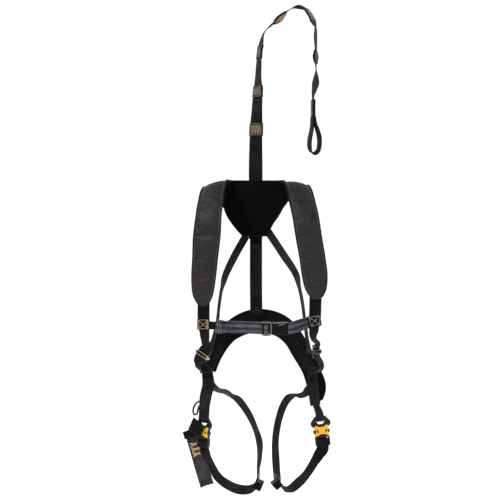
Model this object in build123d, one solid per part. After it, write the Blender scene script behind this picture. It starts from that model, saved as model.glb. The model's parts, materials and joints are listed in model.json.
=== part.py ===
"""Full-body fall-arrest harness vest with a dorsal tether, worn shape, all sizes in millimetres.

Axes: +X towards the wearer's left hand side as seen from the front (the viewer's right), +Y towards
the wearer's back, +Z up.  The origin is the dorsal anchor, where the tether is sewn to the back pad.
"Left" and "right" in the names are the viewer's, looking at the chest.
"""
from build123d import *
import math
import os

# ---- driving dimensions -------------------------------------------------------------------------
TETHER_WEB = 45.0        # width of the tether webbing
SHOULDER_WEB = 38.0      # width of the webbing under the shoulder pads
LEG_WEB = 38.0           # width of the leg strap webbing
CHEST_WEB = 38.0         # width of the chest strap webbing
SPINE_WEB = 40.0         # width of the strap down the back
NARROW_WEB = 25.0        # width of the diagonal straps and small tabs
WEB = 2.4                # thickness of one layer of webbing
DOUBLE_WEB = 5.0         # thickness of two sewn layers
PAD = 14.0               # thickness of the shoulder pads
YOKE = 8.0               # thickness of the back pad
BELT = 8.0               # thickness of the lumbar belt
ANCHOR_Y = 3.0           # plane of the tether webbing, just behind the back pad

CHEST_BUCKLE = (50.0, -226.0, -474.0)     # mouth of the chest buckle's socket
LEG_BUCKLE_RIGHT = (206.7, -158.0, -800.5)
LEG_BUCKLE_LEFT = (-166.0, -158.0, -805.0)
LEG_TURN_RIGHT = (0, -7, 10)              # rotations about X, Y and Z in degrees
LEG_TURN_LEFT = (0, 4, -40)
TORSO_ADJUSTER_RIGHT = (188.0, -203.0, -546.0)
TORSO_ADJUSTER_LEFT = (-167.0, -203.0, -556.0)
TORSO_TURN_RIGHT = (0, 0, 62)
TORSO_TURN_LEFT = (0, 32, -35)
ADJUSTER_TRAVEL = 3.0                     # how far an adjuster's bar slides


# ---- webbing and pads ---------------------------------------------------------------------------
def across(path, width):
    """Turn (centre, direction of the width) pairs into pairs of edge points."""
    rows = []
    for centre, direction in path:
        half = Vector(*direction).normalized() * (width / 2)
        rows.append((Vector(*centre) - half, Vector(*centre) + half))
    return rows


def ribbon(rows, thickness):
    """A strap of the given thickness through rows of two edge points each, corner to corner."""
    edges = [(Vector(*a), Vector(*b)) for a, b in rows]
    middles = [(a + b) * 0.5 for a, b in edges]
    wires = []
    for index, (a, b) in enumerate(edges):
        ahead = middles[min(index + 1, len(edges) - 1)]
        behind = middles[max(index - 1, 0)]
        lift = (ahead - behind).cross(b - a).normalized() * (thickness / 2)
        wires.append(Wire.make_polygon([a - lift, b - lift, b + lift, a + lift], close=True))
    return Solid.make_loft(wires, ruled=True)


def back_pad():
    """Shield between the shoulder pads, with a narrow tab over the spine strap."""
    left_side = [(-79, -2), (-106, -92), (-95, -118), (-78, -144), (-56, -170), (-42, -184)]
    right_side = [(38, -184), (52, -150), (74, -118), (88, -92), (106, -66), (79, -2)]
    tab = [(-20, -184), (-14, -206), (14, -206), (20, -184)]
    outline = Polyline(*left_side, *tab, *right_side, close=True)
    face = Plane.XZ * make_face(outline)
    return extrude(face, amount=YOKE, dir=(0, -1, 0)).translate((0, -0.6, 0))


def shoulder_pad_left():
    """Padded strap from the back pad's side edge over the shoulder and down the chest."""
    rows = [((-74, -13, -2), (-101, -13, -92)), ((-82, -17, -2), (-113, -15, -89)),
            ((-88, -36, -3), (-138, -26, -62)), ((-94, -82, -8), (-164, -78, -30)),
            ((-98, -130, -22), (-176, -126, -44)), ((-102, -176, -66), (-184, -170, -84)),
            ((-108, -206, -118), (-190, -198, -122)), ((-112, -214, -190), (-198, -206, -190)),
            ((-119, -216, -250), (-200, -208, -250)), ((-127, -216, -322), (-203, -208, -322)),
            ((-136, -215, -372), (-198, -208, -372)), ((-146, -214, -394), (-187, -210, -394)),
            ((-158, -212, -405), (-177, -211, -405))]
    return ribbon(rows, PAD)


def shoulder_pad_right():
    rows = [((74, -13, -2), (100, -13, -72)), ((82, -17, -3), (113, -15, -69)),
            ((88, -36, -6), (140, -26, -50)), ((92, -82, -14), (166, -78, -24)),
            ((97, -130, -30), (178, -126, -42)), ((103, -176, -74), (189, -170, -90)),
            ((113, -206, -126), (197, -198, -130)), ((123, -214, -190), (206, -206, -190)),
            ((134, -216, -250), (216, -208, -250)), ((143, -216, -312), (223, -208, -312)),
            ((153, -215, -352), (219, -208, -352)), ((166, -214, -373), (210, -209, -373)),
            ((179, -212, -384), (198, -211, -384))]
    return ribbon(rows, PAD)


def shoulder_webbing_left():
    """Runs from inside the pad's tip to the torso adjuster, past the chest strap's patch."""
    path = [((-165, -209, -407), (1, 0, 0)), ((-165, -209, -450), (1, 0, 0)),
            ((-164, -207, -500), (1, 0, 0)), ((-164, -205, -530), (0.9, -0.3, -0.3))]
    return ribbon(across(path, SHOULDER_WEB), WEB)


def shoulder_webbing_right():
    path = [((186, -209, -387), (1, 0, 0)), ((184, -209, -440), (1, 0, 0)),
            ((181, -208, -480), (0.8, 0.6, 0)), ((180, -206, -520), (0.4, 0.9, 0))]
    return ribbon(across(path, SHOULDER_WEB), WEB)


def lumbar_belt():
    """Padded arch over the hips: outer edge, then inner edge, from left wing to right wing."""
    rows = [((-172, -122, -592), (-132, -104, -622)), ((-158, -90, -557), (-125, -78, -602)),
            ((-142, -58, -526), (-115, -50, -580)), ((-114, -16, -480), (-94, -14, -548)),
            ((-88, 2, -458), (-69, 0, -523)), ((-42, 6, -432), (-29, 5, -504)),
            ((7, 7, -422), (10, 6, -497)), ((69, 5, -432), (65, 4, -510)),
            ((111, 0, -455), (98, -4, -536)), ((140, -16, -486), (120, -20, -571)),
            ((163, -38, -522), (139, -46, -601)), ((185, -76, -562), (154, -80, -628)),
            ((205, -110, -608), (163, -106, -660)), ((222, -122, -655), (172, -120, -694)),
            ((216, -126, -700), (188, -124, -722))]
    return ribbon(rows, BELT)


def hip_webbing_left():
    """From the belt's wing down in front of the leg buckle's carrier ring."""
    path = [((-160, -114, -594), (0.86, 0.3, -0.4)), ((-161, -134, -624), (0.93, 0.25, -0.25)),
            ((-157, -142, -655), (1, 0.1, 0)), ((-162, -152, -693), (1, -0.1, 0)),
            ((-163.5, -166, -724), (0.89, -0.45, 0)), ((-165, -170, -751), (0.87, -0.49, 0)),
            ((-166, -172, -766), (0.86, -0.5, 0))]
    return ribbon(across(path, SHOULDER_WEB), WEB)


def hip_webbing_right():
    path = [((178, -134, -600), (0.66, 0.75, 0)), ((181, -146, -645), (0.85, 0.5, 0)),
            ((184, -148, -692), (0.88, 0.45, 0)), ((188, -150, -722), (0.85, 0.5, 0))]
    return ribbon(across(path, SHOULDER_WEB), WEB)


def diagonal_strap_left():
    """From the back pad's lower corner round the ribs to the torso adjuster."""
    path = [((-32, -2, -182), (0.87, 0, -0.5)), ((-69, -2, -247), (0.87, 0.1, -0.48)),
            ((-100, -12, -312), (0.7, 0.5, -0.48)), ((-112, -45, -358), (0.25, 0.72, -0.65)),
            ((-118, -86, -402), (0.25, 0.72, -0.65)), ((-125, -140, -466), (0.25, 0.72, -0.65)),
            ((-136, -176, -512), (0.3, 0.76, -0.58)), ((-147, -196, -545), (0.6, 0.6, -0.53))]
    return ribbon(across(path, NARROW_WEB), WEB)


def diagonal_strap_right():
    path = [((39, -2, -168), (0.85, 0, 0.52)), ((88, -2, -242), (0.85, -0.1, 0.5)),
            ((130, -12, -308), (0.7, -0.5, 0.5)), ((142, -45, -358), (0.25, -0.72, 0.65)),
            ((150, -86, -406), (0.25, -0.72, 0.65)), ((156, -140, -467), (0.25, -0.72, 0.65)),
            ((161, -172, -512), (0.3, -0.72, 0.62)), ((167, -190, -550), (0.4, -0.7, 0.58))]
    return ribbon(across(path, NARROW_WEB), WEB)


def spine_strap():
    path = [((0, ANCHOR_Y, -70), (1, 0, 0)), ((0, ANCHOR_Y, -190), (1, 0, 0)),
            ((0, -2, -230), (1, 0, 0)), ((0, -2, -330), (1, 0, 0)), ((1, 0, -440), (1, 0, 0))]
    return ribbon(across(path, SPINE_WEB), WEB)


# Leg straps: from the belt's wing, down behind the thigh, through the crotch, up to the buckle.
LEG_LEFT_PATH = [((-152, -128, -646), (0.85, -0.52, -0.05)), ((-135, -98, -672), (0.88, -0.48, 0.08)),
                 ((-110, -58, -685), (0.85, -0.45, 0.25)), ((-88, -24, -698), (0.77, -0.64, 0.04)),
                 ((-62, -2, -714), (0.65, -0.72, 0.25)), ((-29, 8, -758), (0.52, -0.8, 0.3)),
                 ((-3, 0, -811), (0.37, -0.85, 0.38)), ((12, -20, -861), (0.48, -0.74, 0.46)),
                 ((11, -52, -909), (0.4, -0.73, 0.56)), ((7, -88, -946), (0.22, -0.68, 0.7)),
                 ((6, -116, -972), (0.06, -0.66, 0.75)), ((-16, -140, -989), (0.08, -0.53, 0.84)),
                 ((-51, -154, -989), (0.35, -0.42, 0.84)), ((-89, -166, -972), (0.55, -0.5, 0.67)),
                 ((-122, -172, -945), (0.64, -0.63, 0.44)), ((-141, -173, -908), (0.55, -0.8, 0.25)),
                 ((-154, -165, -882), (0.65, -0.72, 0.25))]
LEG_RIGHT_PATH = [((178, -134, -667), (0.2, -0.1, -0.97)), ((160, -126, -680), (-0.12, -0.5, -0.86)),
                  ((150, -96, -687), (-0.3, -0.5, -0.8)), ((144, -60, -692), (-0.69, -0.57, -0.44)),
                  ((133, -26, -698), (-0.75, -0.64, 0.14)),
                  ((112, -4, -708), (-0.69, -0.67, 0.27)), ((92, 6, -735), (-0.63, -0.74, 0.23)),
                  ((74, 4, -785), (-0.56, -0.79, 0.26)), ((64, -10, -843), (-0.56, -0.76, 0.34)),
                  ((64, -42, -904), (-0.65, -0.64, 0.41)), ((67, -82, -950), (-0.64, -0.57, 0.51)),
                  ((70, -112, -974), (-0.61, -0.59, 0.52)), ((87, -136, -988), (-0.35, -0.64, 0.68)),
                  ((107, -148, -989), (-0.57, -0.6, 0.56)), ((134, -160, -966), (-0.7, -0.5, 0.51)),
                  ((162, -168, -934), (-0.67, -0.65, 0.35)), ((184, -171, -899), (-0.7, -0.6, 0.3)),
                  ((200, -161, -872), (-0.85, -0.4, 0.3))]


def leg_tab_left():
    """Last stretch of hip webbing, which carries the buckle's tongue."""
    path = [((-165, -152, -726), (0.97, -0.25, 0)), ((-166, -155, -752), (0.8, -0.6, 0))]
    return ribbon(across(path, NARROW_WEB), WEB)


def leg_tab_right():
    path = [((188, -150, -724), (0.75, 0.66, 0)), ((196, -154, -748), (0.95, 0.3, 0.1))]
    return ribbon(across(path, NARROW_WEB), WEB)


def torso_loop_left():
    """Webbing below the torso adjuster, folded back and sewn to the hip webbing."""
    path = [((-176, -208, -578), (0.75, -0.5, -0.42)), ((-181, -208, -592), (0.78, -0.45, -0.42)),
            ((-178, -200, -605), (0.8, -0.4, -0.42)), ((-169, -186, -605), (0.84, -0.3, -0.42)),
            ((-161, -168, -596), (0.86, -0.2, -0.42)), ((-160, -148, -600), (0.88, 0.1, -0.42)),
            ((-160, -138, -618), (0.92, 0.25, -0.3))]
    return ribbon(across(path, SHOULDER_WEB), WEB)


def torso_loop_right():
    path = [((196, -204, -570), (0.5, 0.86, 0)), ((203, -207, -586), (0.5, 0.86, 0)),
            ((204, -206, -600), (0.5, 0.86, 0)), ((195, -201, -613), (0.5, 0.86, 0)),
            ((185, -186, -616), (0.55, 0.8, 0)), ((181, -164, -616), (0.62, 0.76, 0)),
            ((179, -148, -630), (0.7, 0.7, 0))]
    return ribbon(across(path, SHOULDER_WEB), WEB)


def gear_loop():
    """Thin cord loop for small gear, sewn to the hip webbing."""
    line = Spline((-182, -152, -706), (-196, -153, -722), (-201, -152, -742),
                  (-192, -151, -757), (-183, -152, -748))
    return sweep(Plane(origin=line @ 0, z_dir=line % 0) * Circle(1.6), path=line)


def leg_strap_tail_left():
    """Free end of the left leg strap; it lies over the upper left of the buckle's cover."""
    path = [((-206, -147, -778), (0.54, -0.33, 0.77)), ((-195, -156, -785), (0.54, -0.33, 0.77)),
            ((-182, -165, -793.5), (0.54, -0.33, 0.77)), ((-169, -174, -802), (0.54, -0.33, 0.77))]
    return ribbon(across(path, LEG_WEB), WEB)


# ---- tether -------------------------------------------------------------------------------------
def tether_lower():
    """From behind the back pad straight up; it turns edge-on towards the top."""
    path = [((0, ANCHOR_Y + 3, -62), (1, 0, 0)), ((-1, ANCHOR_Y + 1, 10), (1, 0, 0)),
            ((0, ANCHOR_Y, 144), (0.92, -0.39, 0)), ((4, ANCHOR_Y, 249), (0.73, -0.68, 0)),
            ((6, ANCHOR_Y, 290), (0.61, -0.79, 0)), ((8, ANCHOR_Y, 353), (0.4, -0.92, 0)),
            ((12, ANCHOR_Y, 419), (0.29, -0.96, 0))]
    return ribbon(across(path, TETHER_WEB), WEB)


def tether_arc():
    """Over the top, twisting as it goes; this is where the harness hangs from."""
    path = [((12, ANCHOR_Y, 420), (0.29, -0.96, 0)), ((16, ANCHOR_Y, 442), (0.3, -0.95, -0.07)),
            ((26, ANCHOR_Y, 481), (0.1, -0.99, -0.06)), ((52, ANCHOR_Y, 509), (0, -1, 0)),
            ((77, ANCHOR_Y, 528), (-0.3, -0.89, 0.35)), ((111, ANCHOR_Y, 558), (0.06, -0.99, -0.1)),
            ((141, ANCHOR_Y, 566), (-0.03, -0.9, -0.43)), ((166, ANCHOR_Y, 555), (-0.3, -0.87, -0.38)),
            ((180, ANCHOR_Y, 535), (-0.47, -0.84, -0.26)), ((190, ANCHOR_Y, 512), (-0.35, -0.92, -0.17)),
            ((195, ANCHOR_Y, 500), (-0.17, -0.98, 0)), ((195, ANCHOR_Y, 480), (-0.2, -0.98, 0))]
    return ribbon(across(path, TETHER_WEB), WEB)


def tether_tail():
    """Hanging end of the tether, down to its sewn throat."""
    path = [((195, ANCHOR_Y, 474), (-0.26, -0.97, 0)), ((196, ANCHOR_Y, 425), (-0.17, -0.99, 0)),
            ((195, ANCHOR_Y, 402), (-0.33, -0.94, 0)), ((196, ANCHOR_Y, 373), (-0.1, -1, 0)),
            ((195, ANCHOR_Y, 314), (0.48, -0.88, 0)), ((190, ANCHOR_Y, 290), (0.29, -0.95, 0)),
            ((187, ANCHOR_Y, 272), (0.1, -1, 0)), ((187, ANCHOR_Y, 206), (0.1, -1, 0))]
    return ribbon(across(path, TETHER_WEB), DOUBLE_WEB)


def tether_end_loop():
    """Folded eye at the tether's end: a teardrop of doubled webbing, as wide as the tether."""
    outer = Polyline((185, 205), (189, 205), (200, 182), (210, 160), (213, 138), (211, 112),
                     (203, 90), (192, 82), (180, 85), (170, 106), (170.5, 138), (178, 180), close=True)
    inner = Polyline((187, 190), (195, 172), (203.5, 154), (206, 136), (203.5, 115),
                     (198, 98), (191.5, 91), (184.5, 93), (178, 110), (178.5, 134), (183.5, 170), close=True)
    face = Plane.XZ * (make_face(outer) - make_face(inner))
    return extrude(face, amount=TETHER_WEB, dir=(0, 1, 0)).translate((0, ANCHOR_Y - TETHER_WEB / 2, 0))


def lineman_loop():
    """Side loop of the left hip: a sewn stem over an open racetrack of webbing."""
    stem = Pos(0, 0, -42) * Box(TETHER_WEB, DOUBLE_WEB + 1, 84)
    profile = SlotCenterToCenter(84, 14, rotation=90) - SlotCenterToCenter(84, 8.4, rotation=90)
    ring = Pos(0, 0, -128) * Rotation(0, 0, 90) * extrude(Plane.XZ * profile, TETHER_WEB / 2, both=True)
    return Location((-205.5, -116, -812), (0, -16, 0)) * (stem + ring)


# ---- chest strap and buckle ---------------------------------------------------------------------
SOCKET_LENGTH = 58.0
SOCKET_HALF_WIDTH = 22.0
SOCKET_HALF_DEPTH = 7.0
CAVITY_HALF_WIDTH = 17.5
CAVITY_HALF_DEPTH = 4.2
STRAP_SLOT = CHEST_WEB / 2 + 0.8          # half-length of a slot that takes the chest webbing
PRONG_ROOT = 1.8                          # gap from the socket's mouth to the prongs' roots


def chest_place(shape):
    return Pos(*CHEST_BUCKLE) * shape


def plate(points, depth):
    """A flat piece in the X-Z plane, centred on Y."""
    return extrude(Plane.XZ * make_face(Polyline(*points, close=True)), depth / 2, both=True)


def chest_buckle_female():
    """Socket with a waist, side windows for the prongs' wings and a slot for the strap."""
    half = SOCKET_HALF_WIDTH
    top = [(0, half - 1), (9, half), (14, half - 2.6), (34, half - 2.6), (40, half),
           (SOCKET_LENGTH - 3, half), (SOCKET_LENGTH, half - 3)]
    outline = top + [(x, -z) for x, z in reversed(top)]
    body = plate(outline, 2 * SOCKET_HALF_DEPTH)
    body = chamfer(body.edges().filter_by(Axis.Y, reverse=True).group_by(Axis.Y)[0], 1.6)
    body = chamfer(body.edges().filter_by(Axis.Y, reverse=True).group_by(Axis.Y)[-1], 1.6)
    body -= Pos(19.5, 0, 0) * Box(41, 2 * CAVITY_HALF_DEPTH, 2 * CAVITY_HALF_WIDTH)
    body -= Pos(24, 0, 0) * Box(24, 2 * CAVITY_HALF_DEPTH, 3 * half)
    body -= Pos(49.5, 0, 0) * Box(8, 30, 2 * STRAP_SLOT)
    for side in (-1, 1):
        body -= Pos(57, side * 8.4, 0) * Box(22, 9.6, 2 * STRAP_SLOT + 6)
    return chest_place(body)


def chest_buckle_male():
    """Ladder frame for the strap, shoulder and the central guide between the two prongs."""
    half = SOCKET_HALF_WIDTH + 1
    frame = Pos(-18, 0, 0) * Box(28, 8, 2 * half)
    frame = chamfer(frame.edges().filter_by(Axis.Y), 3)
    for slot in (-25.5, -12.5):
        frame -= Pos(slot, 0, 0) * Box(6, 20, 2 * STRAP_SLOT)
    shoulder = Pos(-2.6, 0, 0) * Box(5, 8, 2 * CAVITY_HALF_WIDTH - 1)
    guide = Pos(12, 0, 0) * Box(28, 4, 3.6)
    return chest_place(frame + shoulder + guide)


def chest_prong(side):
    """Springy arm with a wing that stands in the socket's side window."""
    points = [(PRONG_ROOT, 9.2), (36, 11.0), (38, 12.5), (36, 16.0), (33, 19.6), (31, 20.2),
              (28, 19.4), (24, 18.4), (20, 17.7), (15, 16.8), (10, 13.8), (PRONG_ROOT, 13.2)]
    return chest_place(plate([(x, side * z) for x, z in points], 2 * CAVITY_HALF_DEPTH - 1))


def chest_strap_left():
    """Long chest strap, from the sewn keeper to the ladder frame of the male half."""
    path = [((-108, -222, -469), (0, 0, 1)), ((-60, -226, -470), (0, 0, 1)),
            ((0, -226, -472), (0, 0, 1)), ((16, -226, -473), (0, 0, 1))]
    return ribbon(across(path, CHEST_WEB), WEB)


def chest_keeper():
    """Sewn sleeve that joins the narrow tab to the long strap."""
    path = [((-126, -219, -468), (0.12, 0, 1)), ((-106, -222, -470), (0.12, 0, 1))]
    return ribbon(across(path, CHEST_WEB + 4), DOUBLE_WEB)


def chest_tab_left():
    path = [((-178, -212, -466), (0, 0, 1)), ((-150, -213, -465), (0, 0, 1)),
            ((-124, -219, -466), (0, 0, 1))]
    return ribbon(across(path, NARROW_WEB), WEB)


def chest_strap_right():
    """Short strap looped round the socket's rear bar, both layers running to the shoulder webbing."""
    bar_x = CHEST_BUCKLE[0] + 55.8
    loop = [(57, -2.9), (30, -4.6), (4, -5.2), (-4.6, -4.9), (-6.4, 0), (-4.6, 4.9), (4, 5.2),
            (26, 4.4), (54, 3.8)]
    rise = [17, 9, 1, 0, 0, 0, 1, 8, 16]
    lean = [15, 7, 0, 0, 0, 0, 0, 6, 14]
    path = [((bar_x + x, CHEST_BUCKLE[1] + y + w, CHEST_BUCKLE[2] + z), (0, 0, 1))
            for (x, y), z, w in zip(loop, rise, lean)]
    return ribbon(across(path, CHEST_WEB - 1), 1.8)


# ---- leg buckles --------------------------------------------------------------------------------
# Local axes: X across, Z up, the front face looks to -Y, the centre is the middle of the cover.
PLATE_HALF_WIDTH = 20.0
PLATE_HALF_HEIGHT = 16.0
RIVET_X, RIVET_Z, RIVET_R = 17.4, (-12.4, 7.2), 2.0
TAB_Z = -3.5                              # height of the release tabs' centre line
LEG_SLOT = LEG_WEB / 2 + 0.8
LEG_FRAME_HALF = 23.6
LEG_BAR_Z = -33.0
LEG_BAR_R = 3.0


def slab(half_x, z_low, z_high, front, back):
    """A box between two depths; front and back are distances ahead of the centre plane."""
    return Pos(0, -(front + back) / 2, (z_low + z_high) / 2) * Box(2 * half_x, front - back, z_high - z_low)


def mirrored(side):
    """The same outline points on the other side of X = 0, in returning order."""
    return [(-x, z) for x, z in reversed(side)]


def rivet_spots():
    return [(side * RIVET_X, level) for side in (-1, 1) for level in RIVET_Z]


def leg_tongue():
    """Six-sided carrier ring for the hip webbing with a forked blade that enters the receiver."""
    right_side = [(17, 45), (32, 27), (32, 19), (27, 12), (22, 10.8)]
    window_side = [(13.6, 33), (13.6, 29.5), (7, 20)]
    ring = plate(right_side + mirrored(right_side), 3.6) - plate(window_side + mirrored(window_side), 12)
    blade_side = [(14, 14), (14, -10), (12, -12.5)]
    channel_side = [(10.5, 3), (8.55, -13)]
    blade = plate(blade_side + mirrored(blade_side), 3.2) - plate(channel_side + mirrored(channel_side), 12)
    return ring + blade


def leg_back_plate():
    """Receiver's back plate and, in one piece with it, the frame of the strap adjuster."""
    body = slab(PLATE_HALF_WIDTH, -PLATE_HALF_HEIGHT - 2, PLATE_HALF_HEIGHT - 1, -5, -7)
    frame = slab(LEG_FRAME_HALF, -50, -17.6, 3.5, -7)
    frame = chamfer(frame.edges().filter_by(Axis.Y), 3)
    frame -= slab(LEG_SLOT, -44, -22.5, 20, -20)
    frame -= slab(LEG_FRAME_HALF - 1.2, LEG_BAR_Z - 3.3, LEG_BAR_Z + 3.3 + ADJUSTER_TRAVEL, 1.3, -5.3)
    body = body + frame
    for x, z in rivet_spots():
        body -= Pos(x, 6, z) * Cylinder(RIVET_R, 12, rotation=(90, 0, 0))
    return body


def leg_front_plate():
    body = slab(PLATE_HALF_WIDTH, -PLATE_HALF_HEIGHT + 0.5, PLATE_HALF_HEIGHT - 1, 4, 2)
    for x, z in rivet_spots():
        body -= Pos(x, -3, z) * Cylinder(RIVET_R, 12, rotation=(90, 0, 0))
    return body


def leg_cover():
    """Bright cover: waisted bow-tie outline with a slanted slot at each side."""
    right_side = [(7, 11.5), (15, 16), (22.5, 15.8), (21.6, 8.5), (18.9, 1.5), (18.9, -5),
                  (21.6, -9.5), (22.5, -15.8), (15, -16), (7, -11.5)]
    shell = Pos(0, -6.1, 0) * plate(right_side + mirrored(right_side), 3.6)
    for side in (-1, 1):
        shell -= Pos(side * 13.6, -6, -1.6) * Rotation(0, side * 18, 0) * Box(3, 12, 8.5)
    return shell


def leg_rivets():
    """Four rivets with spacer collars; they hold both plates and the cover."""
    group = []
    for x, z in rivet_spots():
        shank = Pos(x, 1.75, z) * Cylinder(RIVET_R, 11.5, rotation=(90, 0, 0))
        collar = Pos(x, 1.5, z) * Cylinder(2.7, 6.96, rotation=(90, 0, 0))
        head = Pos(x, 7.9, z) * Cylinder(3.3, 1.7, rotation=(90, 0, 0))
        group.append(shank + collar + head)
    return group


def leg_release_tab(side):
    """Thumb pad, slider behind the blade, and a hook that stands in the blade's channel."""
    slider = Pos(side * 13.4, 3.4, TAB_Z) * Box(16.8, 2.6, 10.6)
    hook = Pos(side * 7.2, 0.6, TAB_Z) * Box(4, 4, 6)
    thumb = Pos(side * 23.4, 1.5, TAB_Z) * Box(5.6, 6.2, 10.6)
    thumb = chamfer(thumb.edges().filter_by(Axis.Y), 1.4)
    return slider + hook + thumb


def leg_tab_spring():
    """Coil spring that pushes the two release tabs apart."""
    coil = Helix(pitch=2.0, height=8.6, radius=0.95, direction=(1, 0, 0)).translate((-4.3, 3.4, TAB_Z))
    return sweep(Plane(origin=coil @ 0, z_dir=coil % 0) * Circle(0.3), path=coil)


def leg_adjuster_bar():
    """Floating bar that pinches the leg webbing; its ends run in the frame's side slots."""
    return Pos(0, 2, LEG_BAR_Z) * Cylinder(LEG_BAR_R, 2 * (LEG_FRAME_HALF - 1.6), rotation=(0, 90, 0))


# ---- torso adjusters ----------------------------------------------------------------------------
def torso_adjuster_frame():
    """Flat three-bar frame; the loose bar runs in grooves on its two sides."""
    frame = plate([(-20, 20), (20, 20), (23, 17), (23, -17), (20, -20), (-20, -20), (-23, -17), (-23, 17)], 4)
    frame -= Box(2 * LEG_SLOT, 12, 31)
    frame += Pos(0, 2.6, 18) * Box(40, 2.4, 4)
    return frame


def torso_adjuster_bar():
    """Loose two-railed bar with two hooked ends that slide along the frame's sides."""
    bar = Pos(0, -4.6, -3) * Box(48, 4.2, 13) - Pos(0, -6.7, -3) * Box(40, 2.4, 7)
    for side in (-1, 1):
        bar += Pos(side * 25, -0.2, -3) * Box(3, 13, 8)
        bar += Pos(side * 23.4, 4.6, -3) * Box(6, 3.4, 8)
    return bar


# ---- placing and writing ------------------------------------------------------------------------
def write(name, shape):
    solids = shape if isinstance(shape, list) else [shape]
    solids = [solid for item in solids for solid in item.solids()]
    result = solids[0] if len(solids) == 1 else Compound(solids)
    result.label = name
    export_step(result, "parts/" + name + ".step")


def placed(shape, place):
    if isinstance(shape, list):
        return [place * item for item in shape]
    return place * shape


def main():
    os.makedirs("parts", exist_ok=True)
    soft = [back_pad, shoulder_pad_left, shoulder_pad_right, shoulder_webbing_left,
            shoulder_webbing_right, lumbar_belt, hip_webbing_left, hip_webbing_right,
            diagonal_strap_left, diagonal_strap_right, spine_strap, leg_tab_left, leg_tab_right,
            torso_loop_left, torso_loop_right, gear_loop, leg_strap_tail_left, tether_lower,
            tether_arc, tether_tail, tether_end_loop, lineman_loop, chest_strap_left, chest_keeper,
            chest_tab_left, chest_strap_right]
    for make in soft + [chest_buckle_female, chest_buckle_male]:
        write(make.__name__, make())
    write("chest_prong_upper", chest_prong(1))
    write("chest_prong_lower", chest_prong(-1))
    write("leg_strap_left", ribbon(across(LEG_LEFT_PATH, LEG_WEB), WEB))
    write("leg_strap_right", ribbon(across(LEG_RIGHT_PATH, LEG_WEB), WEB))
    sides = {"left": (Location(LEG_BUCKLE_LEFT, LEG_TURN_LEFT),
                      Location(TORSO_ADJUSTER_LEFT, TORSO_TURN_LEFT)),
             "right": (Location(LEG_BUCKLE_RIGHT, LEG_TURN_RIGHT),
                       Location(TORSO_ADJUSTER_RIGHT, TORSO_TURN_RIGHT))}
    for side, (leg, torso) in sides.items():
        write("leg_tongue_" + side, placed(leg_tongue(), leg))
        write("leg_back_plate_" + side, placed(leg_back_plate(), leg))
        write("leg_front_plate_" + side, placed(leg_front_plate(), leg))
        write("leg_cover_" + side, placed(leg_cover(), leg))
        write("leg_rivets_" + side, placed(leg_rivets(), leg))
        write("leg_release_tab_outer_" + side, placed(leg_release_tab(-1 if side == "left" else 1), leg))
        write("leg_release_tab_inner_" + side, placed(leg_release_tab(1 if side == "left" else -1), leg))
        write("leg_tab_spring_" + side, placed(leg_tab_spring(), leg))
        write("leg_adjuster_bar_" + side, placed(leg_adjuster_bar(), leg))
        write("torso_adjuster_frame_" + side, placed(torso_adjuster_frame(), torso))
        write("torso_adjuster_bar_" + side, placed(torso_adjuster_bar(), torso))


main()
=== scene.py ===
import json
import math
from bisect import bisect_right
from itertools import product

import bmesh
import bpy
from mathutils import Euler, Matrix, Vector, noise


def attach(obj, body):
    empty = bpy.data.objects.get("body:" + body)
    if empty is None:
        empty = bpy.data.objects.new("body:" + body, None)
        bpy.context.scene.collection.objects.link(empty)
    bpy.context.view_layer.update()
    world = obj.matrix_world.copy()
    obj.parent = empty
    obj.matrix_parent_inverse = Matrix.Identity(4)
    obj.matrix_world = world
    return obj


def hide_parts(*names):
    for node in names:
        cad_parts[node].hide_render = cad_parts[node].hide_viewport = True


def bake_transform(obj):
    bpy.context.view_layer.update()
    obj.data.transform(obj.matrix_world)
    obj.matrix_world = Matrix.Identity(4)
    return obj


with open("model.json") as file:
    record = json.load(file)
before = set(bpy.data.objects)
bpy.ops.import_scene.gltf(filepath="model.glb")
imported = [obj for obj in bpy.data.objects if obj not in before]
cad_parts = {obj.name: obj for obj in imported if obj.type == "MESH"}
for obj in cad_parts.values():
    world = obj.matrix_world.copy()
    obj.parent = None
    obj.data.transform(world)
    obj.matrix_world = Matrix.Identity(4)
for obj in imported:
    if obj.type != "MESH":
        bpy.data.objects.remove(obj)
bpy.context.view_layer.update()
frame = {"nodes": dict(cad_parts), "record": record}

# ---- sizes in metres, in the CAD frame; rows of points are in millimetres
MM = 0.001
WEB = 0.0024             # one layer of webbing
TETHER_WEB = 0.045
SHOULDER_WEB = 0.038
LEG_WEB = 0.038
CHEST_WEB = 0.038
SPINE_WEB = 0.04
NARROW_WEB = 0.025
STEP = 0.004             # length of one row of a strap's mesh
CUTS = 9                 # points across one face of a strap

CAMERA_PLACE = (-0.0196, -5.11, -0.229)
CAMERA_LENS = 112.5
FLOOR_Z = -1.06
WORLD_LIGHT = 0.32       # strength of the world as a light
WORLD_BACKDROP = 1.05    # and as the camera sees it: white


def smooth(t):
    t = min(max(t, 0.0), 1.0)
    return t * t * (3 - 2 * t)


def give(thing, **values):
    for key, value in values.items():
        setattr(thing, key, value)


def span(stops, value):
    """The last stop at or below a value that has another after it, and the fraction of the gap."""
    low = max(0, min(len(stops) - 2, bisect_right(stops, value) - 1))
    gap = stops[low + 1] - stops[low]
    return low, (value - stops[low]) / gap if gap else 0.0


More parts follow.
